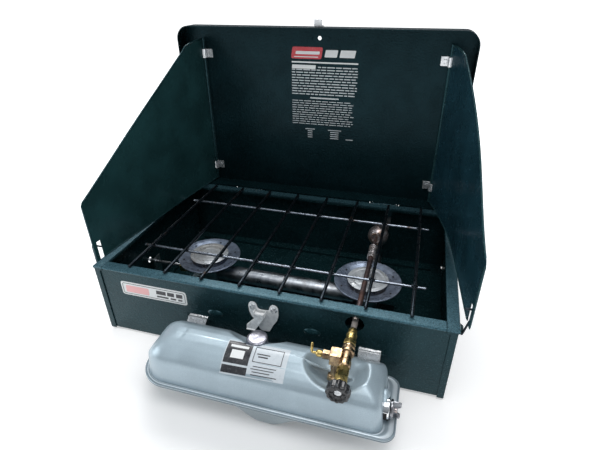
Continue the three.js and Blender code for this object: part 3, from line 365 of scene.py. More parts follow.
# A near-white, barely metallic copy of the zinc for the latch, standing in for front light: painted light.
zinc_painted_light = plated("zinc_painted_light", (0.97, 0.98, 0.98), (0.78, 0.79, 0.80), (0.26, 0.42), 0.3, stained=0.3,
                   metallic=0.15)
cap_metal = plated("cap_metal", (0.40, 0.40, 0.45), (0.24, 0.24, 0.28), (0.24, 0.42), 0.5, stained=0.3)
handle_steel = plated("handle_steel", (0.34, 0.35, 0.37), (0.15, 0.15, 0.17), (0.20, 0.36), 0.6, stained=0.3)
tube_steel = plated("tube_steel", (0.66, 0.70, 0.74), (0.46, 0.50, 0.55), (0.26, 0.44), 0.4,
                    (0.20, 0.14, 0.10), 0.45)
chrome = chrome_finish()
brass = brass_finish("brass_bright", (0.64, 0.49, 0.19), (0.36, 0.25, 0.09), 0.65)
brass_aged = brass_finish("brass_aged", (0.52, 0.38, 0.22), (0.20, 0.13, 0.09), 0.8)
iron = iron_finish("dark_iron", (0.016, 0.022, 0.028), (0.060, 0.042, 0.036), 0.15, (0.24, 0.40))
heated = iron_finish("heated_steel", (0.105, 0.078, 0.080), (0.15, 0.090, 0.075), 0.7, near=forward_steel)
bowl_steel = iron_finish("bowl_steel", (0.42, 0.38, 0.38), (0.28, 0.17, 0.11), 0.55, (0.22, 0.40))
coil_steel = iron_finish("coil_steel", (0.40, 0.38, 0.38), (0.26, 0.19, 0.15), 0.45, (0.25, 0.45))
wire_bright = iron_finish("wire_bright", (0.26, 0.29, 0.34), (0.12, 0.075, 0.05), 0.25, (0.22, 0.4))
black_moulding = plastic_finish()
# Flat black that stands in for the dark inside of holes and slots: painted shade.
hole_shade_black = soft_finish("hole_shade_black", (0.012, 0.011, 0.011), 0.8)
pump_leather = soft_finish("pump_leather", (0.16, 0.09, 0.05), 0.7)
gasket_rubber = soft_finish("gasket_rubber", (0.03, 0.03, 0.03), 0.75)
white_ink = ink("label_white", (0.78, 0.80, 0.80))
black_ink = ink("label_black", (0.018, 0.02, 0.025))
red_ink = ink("label_red", (0.58, 0.035, 0.05))
faded_red = ink("label_faded_red", (0.80, 0.42, 0.42))
grey_ink = ink("label_grey", (0.60, 0.64, 0.66))
label_film = ink("label_film", (0.55, 0.60, 0.64), 0.3)

SLOT_FINISH = {
    "green_enamel": enamel_out, "tank_paint": tank_lacquer, "zinc": zinc, "dark_steel": iron,
    "stainless": tube_steel, "heated_steel": heated, "brass": brass, "aged_brass": brass_aged,
    "chrome": chrome, "black_plastic": black_moulding, "pump_leather": pump_leather,
    "gasket_rubber": gasket_rubber,
}
SLOT_OF = {part["node"]: part["material_slot"] for part in frame["record"]["subparts"]}
BODY_OF = {n: body for body, nodes in frame["record"]["behaviour"]["bodies"].items() for n in nodes}
for node_name, cad_object in frame["nodes"].items():
    cad_object.data.materials.clear()
    cad_object.data.materials.append(SLOT_FINISH[SLOT_OF[node_name]])

# ---------------------------------------------------------------- shape helpers (millimetres)

RIGHT, BACKWARD, UP = (1, 0, 0), (0, 1, 0), (0, 0, 1)
LEFTWARD = (-1, 0, 0)


def clamp(value):
    return min(1.0, max(0.0, value))


def box_mm(node):
    low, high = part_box(node)
    return np.array(low) / MM, np.array(high) / MM


def centre_mm(node):
    low, high = box_mm(node)
    return (low + high) / 2


def rounded(points, radius, steps=4, closed=False):
    """A run of points with its corners rounded off."""
    points = [np.array(p, float) for p in points]
    count = len(points)
    out = []
    for i, corner in enumerate(points):
        if not closed and i in (0, count - 1):
            out.append(corner)
            continue
        before, after = points[i - 1], points[(i + 1) % count]
        reach_in, reach_out = np.linalg.norm(before - corner), np.linalg.norm(after - corner)
        if reach_in < 1e-6 or reach_out < 1e-6:
            out.append(corner)
            continue
        start = corner + (before - corner) * min(0.45, radius / reach_in)
        end = corner + (after - corner) * min(0.45, radius / reach_out)
        for k in range(steps + 1):
            t = k / steps
            out.append((1 - t) ** 2 * start + 2 * t * (1 - t) * corner + t * t * end)
    return out


def frame_about(direction):
    """Two directions square to the given one, and the given one at unit length."""
    along = np.array(direction, float)
    along /= np.linalg.norm(along)
    helper = np.array((0.0, 0.0, 1.0)) if abs(along[2]) < 0.9 else np.array((1.0, 0.0, 0.0))
    side = np.cross(helper, along)
    side /= np.linalg.norm(side)
    return side, np.cross(along, side), along


class Form:
    """A mesh put together from lofted rings."""

    def __init__(self):
        self.verts = []
        self.faces = []

    def loft(self, rings, capped=True):
        first, count = len(self.verts), len(rings[0])
        for ring in rings:
            self.verts.extend(tuple(float(v) for v in p) for p in ring)
        for k in range(len(rings) - 1):
            low = first + k * count
            for i in range(count):
                j = (i + 1) % count
                self.faces.append((low + i, low + j, low + count + j, low + count + i))
        if capped:
            last = first + (len(rings) - 1) * count
            self.faces.append(tuple(first + i for i in reversed(range(count))))
            self.faces.append(tuple(last + i for i in range(count)))
        return self

    def spin(self, origin, direction, profile, sides=48, soft=0.4, ring_like=False, shape=None):
        """A profile of (distance along, radius) turned about a line; shape scales the radius by angle."""
        side, up, along = frame_about(direction)
        origin = np.array(origin, float)
        profile = rounded(profile, soft, 3, closed=ring_like)
        if ring_like:
            profile = profile + [profile[0]]
        rings = []
        for distance, radius in profile:
            ring = []
            for i in range(sides):
                angle = 2 * math.pi * i / sides
                r = max(radius, 0.02) * (shape(angle, distance) if shape else 1.0)
                ring.append(origin + along * distance + side * (r * math.cos(angle))
                            + up * (r * math.sin(angle)))
            rings.append(ring)
        return self.loft(rings, capped=not ring_like)

    def tube(self, points, radius, sides=14, bend=2.0, round_ends=True, flat=1.0):
        """A round or flattened wire along a run of points, with its bends eased."""
        points = rounded(points, bend, 6)
        points = [p for i, p in enumerate(points) if i == 0 or np.linalg.norm(p - points[i - 1]) > 1e-5]
        side, up, _ = frame_about(points[1] - points[0])
        rings = []
        for i, place in enumerate(points):
            ahead = points[min(i + 1, len(points) - 1)] - points[max(i - 1, 0)]
            ahead = ahead / np.linalg.norm(ahead)
            side = side - ahead * side.dot(ahead)
            side /= np.linalg.norm(side)
            up = np.cross(ahead, side)
            caps = [(0.0, 1.0)]
            if round_ends and i == 0:
                caps = [(-math.cos(a) * radius, math.sin(a)) for a in (0.25, 0.7, 1.15)] + caps
            if round_ends and i == len(points) - 1:
                caps = caps + [(math.cos(a) * radius, math.sin(a)) for a in (1.15, 0.7, 0.25)]
            for shift, scale in caps:
                rings.append([place + ahead * shift + side * (radius * scale * math.cos(b))
                              + up * (radius * scale * flat * math.sin(b))
                              for b in (2 * math.pi * k / sides for k in range(sides))])
        return self.loft(rings)

    def prism(self, outline, origin, across, upward, depth, edge=0.3):
        """An outline drawn along two directions, with a thickness and softened edges."""
        across, upward = np.array(across, float), np.array(upward, float)
        normal = np.cross(across, upward)
        normal /= np.linalg.norm(normal)
        outline = [np.array(p, float) for p in outline]
        centre = sum(outline) / len(outline)
        rings = []
        for level, inset in ((0.0, edge), (edge, 0.0), (depth - edge, 0.0), (depth, edge)):
            ring = []
            for p in outline:
                away = p - centre
                q = centre + away * max(0.0, 1.0 - inset / max(np.linalg.norm(away), 1e-6))
                ring.append(np.array(origin, float) + across * q[0] + upward * q[1] + normal * level)
            rings.append(ring)
        return self.loft(rings)

    def block(self, low, high, edge=0.6):
        (x0, y0, z0), (x1, y1, z1) = low, high
        outline = rounded([(x0, y0), (x1, y0), (x1, y1), (x0, y1)], edge * 1.6, 3, closed=True)
        return self.prism(outline, (0, 0, z0), RIGHT, BACKWARD, z1 - z0, edge)

    def piece(self, name, finish, body, nodes=(), slot=None, angle=38.0):
        mesh = bpy.data.meshes.new(name)
        mesh.from_pydata([tuple(c * MM for c in v) for v in self.verts], [], self.faces)
        return settle(mesh, name, finish, body, nodes, angle)


def settle(mesh, name, finish, body, nodes=(), angle=38.0):
    """Cleans the mesh, smooths it and makes it a piece."""
    work = bmesh.new()
    work.from_mesh(mesh)
    bmesh.ops.remove_doubles(work, verts=work.verts, dist=2e-6)
    bmesh.ops.recalc_face_normals(work, faces=work.faces)
    work.to_mesh(mesh)
    work.free()
    mesh.shade_smooth()
    mesh.set_sharp_from_angle(angle=math.radians(angle))
    return tie(mesh, name, finish, body, nodes)


def tie(mesh, name, finish, body, nodes=()):
    """Makes the mesh a piece of the model with its finish, and lets it ride on its body."""
    mesh.materials.clear()
    mesh.materials.append(finish)
    piece = bpy.data.objects.new(name, mesh)
    bpy.context.scene.collection.objects.link(piece)
    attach(piece, body)
    if nodes:
        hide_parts(*nodes)
    return piece


FOLD_DEG = 34.0  # a turn sharper than this is an edge, and a gentler one is part of a curve


def softened(node, finish, width, segments=2):
    """The folded or stamped piece of the CAD with its edges broken the way pressed sheet has them."""
    mesh = frame["nodes"][node].data.copy()
    work = bmesh.new()
    work.from_mesh(mesh)
    bmesh.ops.remove_doubles(work, verts=work.verts, dist=1e-6)
    bmesh.ops.dissolve_limit(work, angle_limit=math.radians(1.0), verts=work.verts, edges=work.edges)
    work.to_mesh(mesh)
    work.free()
    mesh.shade_smooth()
    helper = bpy.data.objects.new("helper", mesh)
    bpy.context.scene.collection.objects.link(helper)
    bevel = helper.modifiers.new("edges", "BEVEL")
    bevel.harden_normals = True
    bevel.width = width * MM
    bevel.segments = segments
    bevel.limit_method = "ANGLE"
    bevel.angle_limit = math.radians(FOLD_DEG)
    bevel.miter_outer = "MITER_ARC"
    flats = helper.modifiers.new("flats", "WEIGHTED_NORMAL")
    flats.mode = "FACE_AREA"
    flats.weight = 100
    flats.keep_sharp = True
    graph = bpy.context.evaluated_depsgraph_get()
    made = bpy.data.meshes.new_from_object(helper.evaluated_get(graph))
    bpy.data.objects.remove(helper)
    return tie(made, node + "_formed", finish, BODY_OF[node], (node,))


# ---------------------------------------------------------------- fuel tank

(TANK_X0, TANK_Y0, _), (TANK_X1, TANK_Y1, _) = box_mm("tank_upper_shell")
TANK_MID_Y, HALF_DEPTH = (TANK_Y0 + TANK_Y1) / 2, (TANK_Y1 - TANK_Y0) / 2
CAP_X, CAP_Y, _ = centre_mm("fuel_cap")
VALVE_X = centre_mm("valve_riser")[0]
DOME_INSET = 5.5  # how far in from the flange's edge the dome starts
END_LEDGE = 8.0  # how much further in the dome's right end starts
DEEPEST_INSET = 41.4
DENTS = (  # centre and radii of the rounded hollows pressed into the top
    ((8.0, -143.0, 88.0), (46.0, 40.0, 37.5)),
    ((CAP_X, CAP_Y, 90.0), (19.0, 19.0, 31.0)),
    ((VALVE_X + 2, -188.0, 92.0), (38.0, 34.0, 36.0)),
    ((VALVE_X + 35, -142.0, 92.0), (37.0, 34.0, 35.0)),
)
DOME = (  # distance in from the edge, and height
    (DOME_INSET, 32.6), (5.8, 36.0), (6.5, 44.0), (7.6, 54.0), (8.6, 59.0), (10.2, 62.8), (13.0, 66.3),
    (18.0, 70.2), (25.0, 74.4), (33.0, 77.2), (42.0, 78.6),
)
UPPER_FLANGE = (  # distance in from the edge, and height over the seam
    (2.6, 0.1), (0.9, 0.15), (0.15, 0.6), (0.0, 1.2), (0.35, 1.8), (1.1, 2.1), (1.9, 1.9), (2.3, 1.2),
    (2.7, 0.9), (3.2, 1.0), (3.9, 1.5), (4.5, 1.5), (5.0, 1.2), (5.3, 1.5),
)
LOWER_FLANGE = (
    (2.6, -0.1), (0.9, -0.15), (0.15, -0.6), (0.0, -1.2), (0.3, -1.9), (1.0, -2.3), (2.0, -2.3), (3.2, -2.0),
)
SUMP_ENDS, SUMP_SLOPE = (-8.0, 82.0), 40.0


def soft_min(a, b, width):
    h = clamp(0.5 + 0.5 * (b - a) / width)
    return b * (1 - h) + a * h - width * h * (1 - h)


def plan_ring(inset):
    """The tank's outline, drawn in by inset, with the same number of points at every inset."""
    x0, x1 = TANK_X0 + inset, TANK_X1 - inset - END_LEDGE * clamp((inset - 2.6) / 2.4)
    half = max(HALF_DEPTH - inset, 0.4)
    left, right = min(max(36.5 - inset, 6.0), half), min(max(14 - inset * 0.6, 6.0), half)
    y0, y1 = TANK_MID_Y - half, TANK_MID_Y + half
    ring = []
    start = (x0 + left, y0)
    for k, (x, y, radius, steps, run) in enumerate((
            (x1 - right, y0 + right, right, 12, 110), (x1 - right, y1 - right, right, 12, 16),
            (x0 + left, y1 - left, left, 18, 110), (x0 + left, y0 + left, left, 18, 8))):
        arc = [(x + radius * math.cos(a), y + radius * math.sin(a))
               for a in (math.pi / 2 * (k - 1 + i / steps) for i in range(steps + 1))]
        ring += [(start[0] + (arc[0][0] - start[0]) * i / run, start[1] + (arc[0][1] - start[1]) * i / run)
                 for i in range(run)]
        ring += arc[:-1]
        start = arc[-1]
    return ring


def dome_height(inset):
    for (a, za), (b, zb) in zip(DOME, DOME[1:]):
        if inset <= b:
            return za + (zb - za) * (inset - a) / (b - a)
    return DOME[-1][1]


def top_height(x, y, inset):
    """The tank's top: the dome, rounded down at both ends, with its pressed hollows."""
    z = dome_height(inset)
    for way, rise, tall, power in (((x - TANK_X0 - DOME_INSET) / 46.0, 1.6, 47.5, 2.3),
                                   ((TANK_X1 - DOME_INSET - END_LEDGE - x) / 26.0, 22.0, 25.5, 2.0)):
        if way < 1.0:
            z = soft_min(z, SEAM_Z + rise + tall * math.sqrt(1 - (1 - clamp(way)) ** power), 5.0)
    for centre, radii in DENTS:
        far = ((x - centre[0]) / radii[0]) ** 2 + ((y - centre[1]) / radii[1]) ** 2
        if far < 1.0:
            z = soft_min(z, centre[2] - radii[2] * math.sqrt(1 - far), 6.5)
    return max(z, SEAM_Z + 2.2)


def inset_of(x, y):
    return min(x - TANK_X0, TANK_X1 - END_LEDGE - x, y - TANK_Y0, TANK_Y1 - y)


def sump_share(x):
    """How far the lower shell drops towards its deep sump, from 0 to 1, along the tank."""
    rise, fall = clamp((x - SUMP_ENDS[0]) / SUMP_SLOPE), clamp((SUMP_ENDS[1] - x) / SUMP_SLOPE)
    return (3 * rise ** 2 - 2 * rise ** 3) * (3 * fall ** 2 - 2 * fall ** 3)


def belly_depth(x, inset):
    """How far the lower shell is below the seam."""
    deep = 12.6 * (0.62 + 0.38 * math.sin(clamp((x - TANK_X0 - DOME_INSET) / 60.0) * math.pi / 2))
    shallow = 2.0 + (deep - 2.0) * (1 - (1 - clamp((inset - 3.6) / 9.5)) ** 2.4)
    sump = 2.0 + 24.6 * (1 - (1 - clamp((inset - 3.4) / 3.4)) ** 2.6)
    return shallow + max(0.0, sump - shallow) * sump_share(x)


def tank_shell(name, finish, node, flange, insets, height):
    rings = [[(x, y, SEAM_Z + z) for x, y in plan_ring(inset)] for inset, z in flange]
    rings += [[(x, y, height(x, y, inset)) for x, y in plan_ring(inset)] for inset in insets]
    Form().loft(rings).piece(name, finish, "tank", (node,), angle=60.0)


def tank_upper():
    insets = [5.5, 5.7, 6.0, 6.4, 6.9, 7.4, 8.0, 8.5, 9.1, 9.8, 10.6, 11.6, 12.8, 14.2]
    insets += [14.2 + 1.55 * i for i in range(1, 18)] + [DEEPEST_INSET]
    tank_shell("tank_upper_skin", tank_lacquer, "tank_upper_shell", UPPER_FLANGE, insets, top_height)


def tank_lower():
    insets = [3.6, 3.9, 4.2, 4.5, 4.9, 5.4, 6.0, 6.6, 7.4, 8.4, 9.6, 11.0, 12.6, 15.0]
    insets += [min(17 + 2.2 * i, DEEPEST_INSET) for i in range(12)]
    tank_shell("tank_lower_skin", tank_lacquer_shaded, "tank_lower_shell", LOWER_FLANGE, insets,
               lambda x, y, inset: SEAM_Z - belly_depth(x, inset))


tank_upper()
tank_lower()
for side in ("left", "right"):
    softened(f"tank_hanger_{side}", zinc_bright, 0.4)

# ---------------------------------------------------------------- valve, knob and generator

GEN_X, _, GEN_Z = centre_mm("generator_tube")
VALVE_Y = -190.0


def hexagon(angle, _distance):
    step = math.pi / 3
    return math.cos(step / 2) / math.cos((angle + step / 2) % step - step / 2)


def along_generator(form, profile, **options):
    form.spin((GEN_X, 0, GEN_Z), BACKWARD, profile, **options)


def valve():
    low, high = box_mm("valve_body")
    form = Form()
    along_generator(form, [(low[1], 0), (low[1], 5.6), (low[1] + 2, 6.4), (low[1] + 9, 6.4),
                           (low[1] + 9.6, 5.7),
                           (-184, 5.7), (-183.4, 7.4), (-179.2, 7.4), (-178.6, 5.6), (-176.5, 5.6),
                           (-176, 6.6), (high[1], 6.6), (high[1], 0)], soft=0.5)
    form.block((low[0] + 8, VALVE_Y - 7, GEN_Z - 7), (GEN_X - 4.5, VALVE_Y + 7, GEN_Z + 7), 0.9)
    form.spin((low[0] + 9, VALVE_Y, GEN_Z), LEFTWARD, [(0, 0), (0, 5.0), (8.6, 5.0), (9.0, 4.4), (9.0, 0)],
              sides=6, soft=0.3)
    form.piece("valve_casting", brass_aged, "tank", ("valve_body",))
    arm = Form().tube([(103, VALVE_Y, GEN_Z), (81, VALVE_Y, GEN_Z), (81, VALVE_Y + 3.6, GEN_Z + 9)], 1.45,
                      14, 2.6)
    arm.spin((92.5, VALVE_Y, GEN_Z), LEFTWARD,
             [(0, 0), (0, 3.7), (1.2, 3.9), (4.6, 3.9), (6.5, 2.6), (6.5, 0)])
    arm.piece("lighting_lever_bent", brass, "lighting", ("lighting_lever",))
    low, high = box_mm("valve_riser")
    riser = Form().spin((VALVE_X, VALVE_Y, 0), UP,
                        [(low[2], 0), (low[2], 5.5), (58, 5.5), (59, 8.6), (64.5, 8.6), (65.5, 5.2),
                         (high[2], 5.2), (high[2], 0)], sides=6, soft=0.4)
    riser.piece("valve_riser_hex", brass_aged, "tank", ("valve_riser",))


def nuts():
    low, high = box_mm("packing_nut")
    form = Form()
    along_generator(form, [(low[1], 2.6), (low[1], 5.6), (low[1] + 1.4, 7.0), (high[1] - 1.2, 7.0),
                           (high[1], 6.0), (high[1], 2.6)], sides=96, soft=0.2, ring_like=True, shape=hexagon)
    form.piece("packing_nut_hex", brass, "tank", ("packing_nut",), angle=28.0)
    low, high = box_mm("generator_nut")
    form = Form()
    along_generator(form, [(low[1], 4.6), (low[1], 6.2), (low[1] + 1.0, 7.2), (-165, 7.2), (-164, 6.2),
                           (-164, 4.6)], sides=96, soft=0.2, ring_like=True, shape=hexagon)
    along_generator(form, [(-165, 3.9), (-165, 5.7), (-158, 5.6), (-156, 6.1), (-154, 5.2), (high[1], 4.8),
                           (high[1], 3.9)], ring_like=True)
    form.piece("generator_nut_hex", brass, "tank", ("generator_nut",), angle=28.0)


def generator():
    low, high = box_mm("generator_tube")
    form = Form()
    along_generator(form, [(low[1], 0), (low[1], 3.5), (-120, 3.5), (-60, 3.42), (36, 3.5), (39, 3.3),
                           (43, 2.3),
                           (52, 1.5), (high[1], 1.1), (high[1], 0)], sides=32, soft=1.2)
    form.piece("generator_pipe", heated, "tank", ("generator_tube",))
    turns, length = 7, 32.0
    points = []
    for i in range(turns * 20 + 1):
        t = i / (turns * 20)
        angle = 2 * math.pi * turns * t
        radius = 5.0 + 0.25 * math.sin(9.0 * t)
        points.append((GEN_X + radius * math.cos(angle), length * t, GEN_Z + radius * math.sin(angle)))
    Form().tube(points, 1.1, 10, 0.1).piece("generator_spring", coil_steel, "tank", ("generator_coil",))


def knob():
    low, high = box_mm("control_knob")
    flute = lambda a, _: 1.0 - 0.085 * (0.5 - 0.5 * math.cos(12 * a)) ** 0.8
    form = Form()
    wide = (high[0] - low[0]) / 2
    along_generator(form, [(high[1], 3.0), (high[1], wide - 3.6), (high[1] - 1.2, wide - 0.9),
                           (high[1] - 2.8, wide), (low[1] + 2.4, wide), (low[1] + 0.6, wide - 0.7),
                           (low[1], wide - 2.2), (low[1] + 0.4, wide - 3.5), (low[1] + 2.2, wide - 4.0),
                           (low[1] + 2.4, 4.6), (low[1] + 4.4, 4.4), (low[1] + 4.6, 3.0)],
                    sides=144, soft=0.6, ring_like=True, shape=flute)
    for i in range(6):
        angle = math.pi / 3 * i
        side, up = math.cos(angle), math.sin(angle)
        form.tube([(GEN_X + side * 4.8, low[1] + 2.3, GEN_Z + up * 4.8),
                   (GEN_X + side * (wide - 3.8), low[1] + 2.3, GEN_Z + up * (wide - 3.8))], 0.7, 8, 0.1)
    form.piece("knob_moulded", black_moulding, "control", ("control_knob",))
    low, high = box_mm("control_stem")
    form = Form()
    along_generator(form, [(low[1], 0), (low[1], 3.2), (low[1] + 0.5, 4.0), (low[1] + 1.2, 4.0),
                           (low[1] + 1.3, 2.1), (high[1], 2.1), (high[1], 0)], soft=0.3)
    form.block((GEN_X - 2.9, low[1] - 0.25, GEN_Z - 0.5), (GEN_X + 2.9, low[1] + 0.2, GEN_Z + 0.5), 0.1)
    form.piece("stem_and_screw", zinc_bright, "control", ("control_stem",))


valve()
nuts()
generator()
knob()

# ---------------------------------------------------------------- filler cap and pump


def filler():
    low, high = (corner[2] for corner in box_mm("fuel_cap"))
    knurl = lambda a, z: 1.0 + (0.022 * math.cos(36 * a) if low + 2.4 < z < high - 3.2 else 0.0)
    cap = Form().spin((CAP_X, CAP_Y, 0), UP,
                      [(low, 10.1), (low, 12.3), (low + 1.6, 12.4), (low + 2.0, 11.6), (low + 2.8, 12.3),
                       (high - 3.6, 12.3), (high - 3.0, 11.6), (high - 2.4, 12.5), (high - 0.9, 12.0),
                       (high - 0.2, 9.5), (high, 4.0), (high, 0.0), (70.6, 0.0), (70.6, 10.1)],
                      sides=144, soft=0.35, ring_like=True, shape=knurl)
    cap.piece("cap_knurled", cap_metal, "cap", ("fuel_cap",))
    low, high = (corner[2] for corner in box_mm("filler_neck"))
    neck = Form().spin((CAP_X, CAP_Y, 0), UP,
                       [(low, 7), (low, 9), (low + 8, 9), (58.6, 11.5), (59.6, 11.5), (60.0, 9), (high, 9),
                        (high, 7)], soft=0.4, ring_like=True)
    neck.piece("neck_turned", zinc, "tank", ("filler_neck",))


def pump_sleeve(start, end, y, z):
    boss = rounded([(y - 9, SEAM_Z + 1), (y + 17, SEAM_Z + 1), (y + 17, z + 14), (y - 1, z + 14),
                    (y - 9, z + 6)],
                   9.0, 6, closed=True)
    Form().prism(boss, (end - 11, 0, 0), BACKWARD, UP, 10.0, 3.2).piece(
        "pump_boss", tank_lacquer, "tank", (), "tank_paint", angle=60.0)
    sleeve = Form().spin((0, y, z), RIGHT,
                         [(start, 8.0), (start, 9.2), (end - 13, 9.2), (end - 12, 11.6), (end - 8.4, 11.9),
                          (end - 7.8, 11.2), (end - 7.0, 11.2), (end - 6.4, 12.0), (end - 1.0, 12.0),
                          (end - 0.4, 11.8), (end, 11.2), (end, 8.2)], sides=64, soft=0.3, ring_like=True)
    sleeve.piece("pump_sleeve", chrome, "tank", ("pump_barrel",))
    around = lambda x, a, r: (x, y - r * math.cos(a), z + r * math.sin(a))
    # Dark curved patches fill the sleeve's slots: painted shade where one would see into the sleeve.
    slot = Form()
    for x0, x1, a0, a1 in ((end - 6.0, end - 2.0, -0.62, 0.42), (end - 3.0, end - 0.2, -0.62, -0.18)):
        slot.loft([[around(x0, a, 12.08), around(x1, a, 12.08), around(x1, a, 11.0), around(x0, a, 11.0)]
                   for a in (a0 + (a1 - a0) * k / 8 for k in range(9))])
    slot.piece("pump_slot", hole_shade_black, "tank", (), "dark_steel")


def pump():
    low, high = box_mm("pump_barrel")
    _, y, z = centre_mm("pump_barrel")
    pump_sleeve(low[0], high[0], y, z)
    for node, finish in (("pump_rod", zinc), ("pump_cup", pump_leather)):
        a, b = box_mm(node)
        radius = (b[2] - a[2]) / 2
        Form().spin((0, y, z), RIGHT,
                    [(a[0], 0), (a[0], radius - 0.6), (a[0] + 0.6, radius), (b[0] - 0.6, radius - 0.2),
                     (b[0], radius - 0.8),
                     (b[0], 0)]).piece(node + "_turned", finish, "pump_plunger", (node,))
    x = box_mm("pump_handle")[0][0]
    handle = Form().spin((0, y, z), RIGHT,
                         [(x, 0), (x, 9.2), (x + 0.6, 10.0), (x + 2.4, 10.0), (x + 3.2, 8.6),
                                            (x + 4.0, 6.0), (x + 4.0, 0)], soft=0.4)
    outline = rounded([(2.6, -12), (11.0, -12), (11.0, -5.5), (7.4, -4.5), (7.4, 4.5), (11.0, 5.5),
                       (11.0, 12),
                       (2.6, 12), (0.2, 8), (0.2, -8)], 2.0, 4, closed=True)
    handle.prism(outline, (x, y + 1.0, z), RIGHT, UP, 2.0, 0.35)
    handle.piece("pump_handle_stamped", handle_steel, "pump_grip", ("pump_handle",))
    rivet = Form().spin((0, y, z), RIGHT,
                        [(x + 4.2, 0), (x + 4.2, 3.1), (x + 7.0, 3.1), (x + 7.4, 2.0), (x + 7.4, 0)])
    rivet.piece("pump_thumb_rivet", bowl_steel, "pump_grip", (), "zinc")


filler()
pump()
softened("cap_gasket", gasket_rubber, 0.3)

# ---------------------------------------------------------------- grate, wires and burners


def wires():
    low, high = box_mm("grate")
    radius = 2.15
    z = high[2] - radius
    cross = [-73.0, 71.0]
    cross_z = z - 3.15
    form = Form()
    for i in range(8):
        x = (i - 3.5) * 51.2
        drift = [random.uniform(-0.5, 0.5) for _ in range(5)]
        stops = [low[1], cross[0], 0.0, cross[1], high[1]]
        form.tube([(x + d, y, z) for d, y in zip(drift, stops)], radius, 16, 14.0)
        for y in cross:
            form.tube([(x - 2.7, y, cross_z + 1.4), (x + 2.7, y, cross_z + 1.4)], 1.75, 10, 0.1)
    form.piece("grate_long_wires", iron, "pan_grate", ("grate",))
    form = Form()
    for y in cross:
        sag = [random.uniform(-0.4, 0.4) for _ in range(5)]
        form.tube([(x, y + s, cross_z) for s, x in zip(sag, (low[0], -95, 0, 95, high[0]))], 1.8, 16, 20.0)
    form.piece("grate_cross_wires", wire_bright, "pan_grate", (), "dark_steel")


def hooks():
    for side, sign in (("left", -1), ("right", 1)):
        low, high = box_mm(f"hook_wire_{side}")
        reaches = sorted((abs(low[0]), abs(high[0])))
        foot_x, outer, tip = sign * 233.0, sign * (reaches[1] - 1.2), sign * reaches[0]
        y, foot_z, top = low[1] + 1.2, low[2] + 1.2, high[2] - 1.2
        points = [(foot_x, high[1], foot_z), (foot_x, y, foot_z), (outer, y, top - 8), (outer, y, top),
                  (tip, y, top)]
        Form().tube(points, 1.2, 12, 3.0).piece(f"hook_{side}_bent", iron, f"hook_{side}",
                                                (f"hook_wire_{side}",))
        softened(f"hook_bracket_{side}", enamel_out, 0.3)


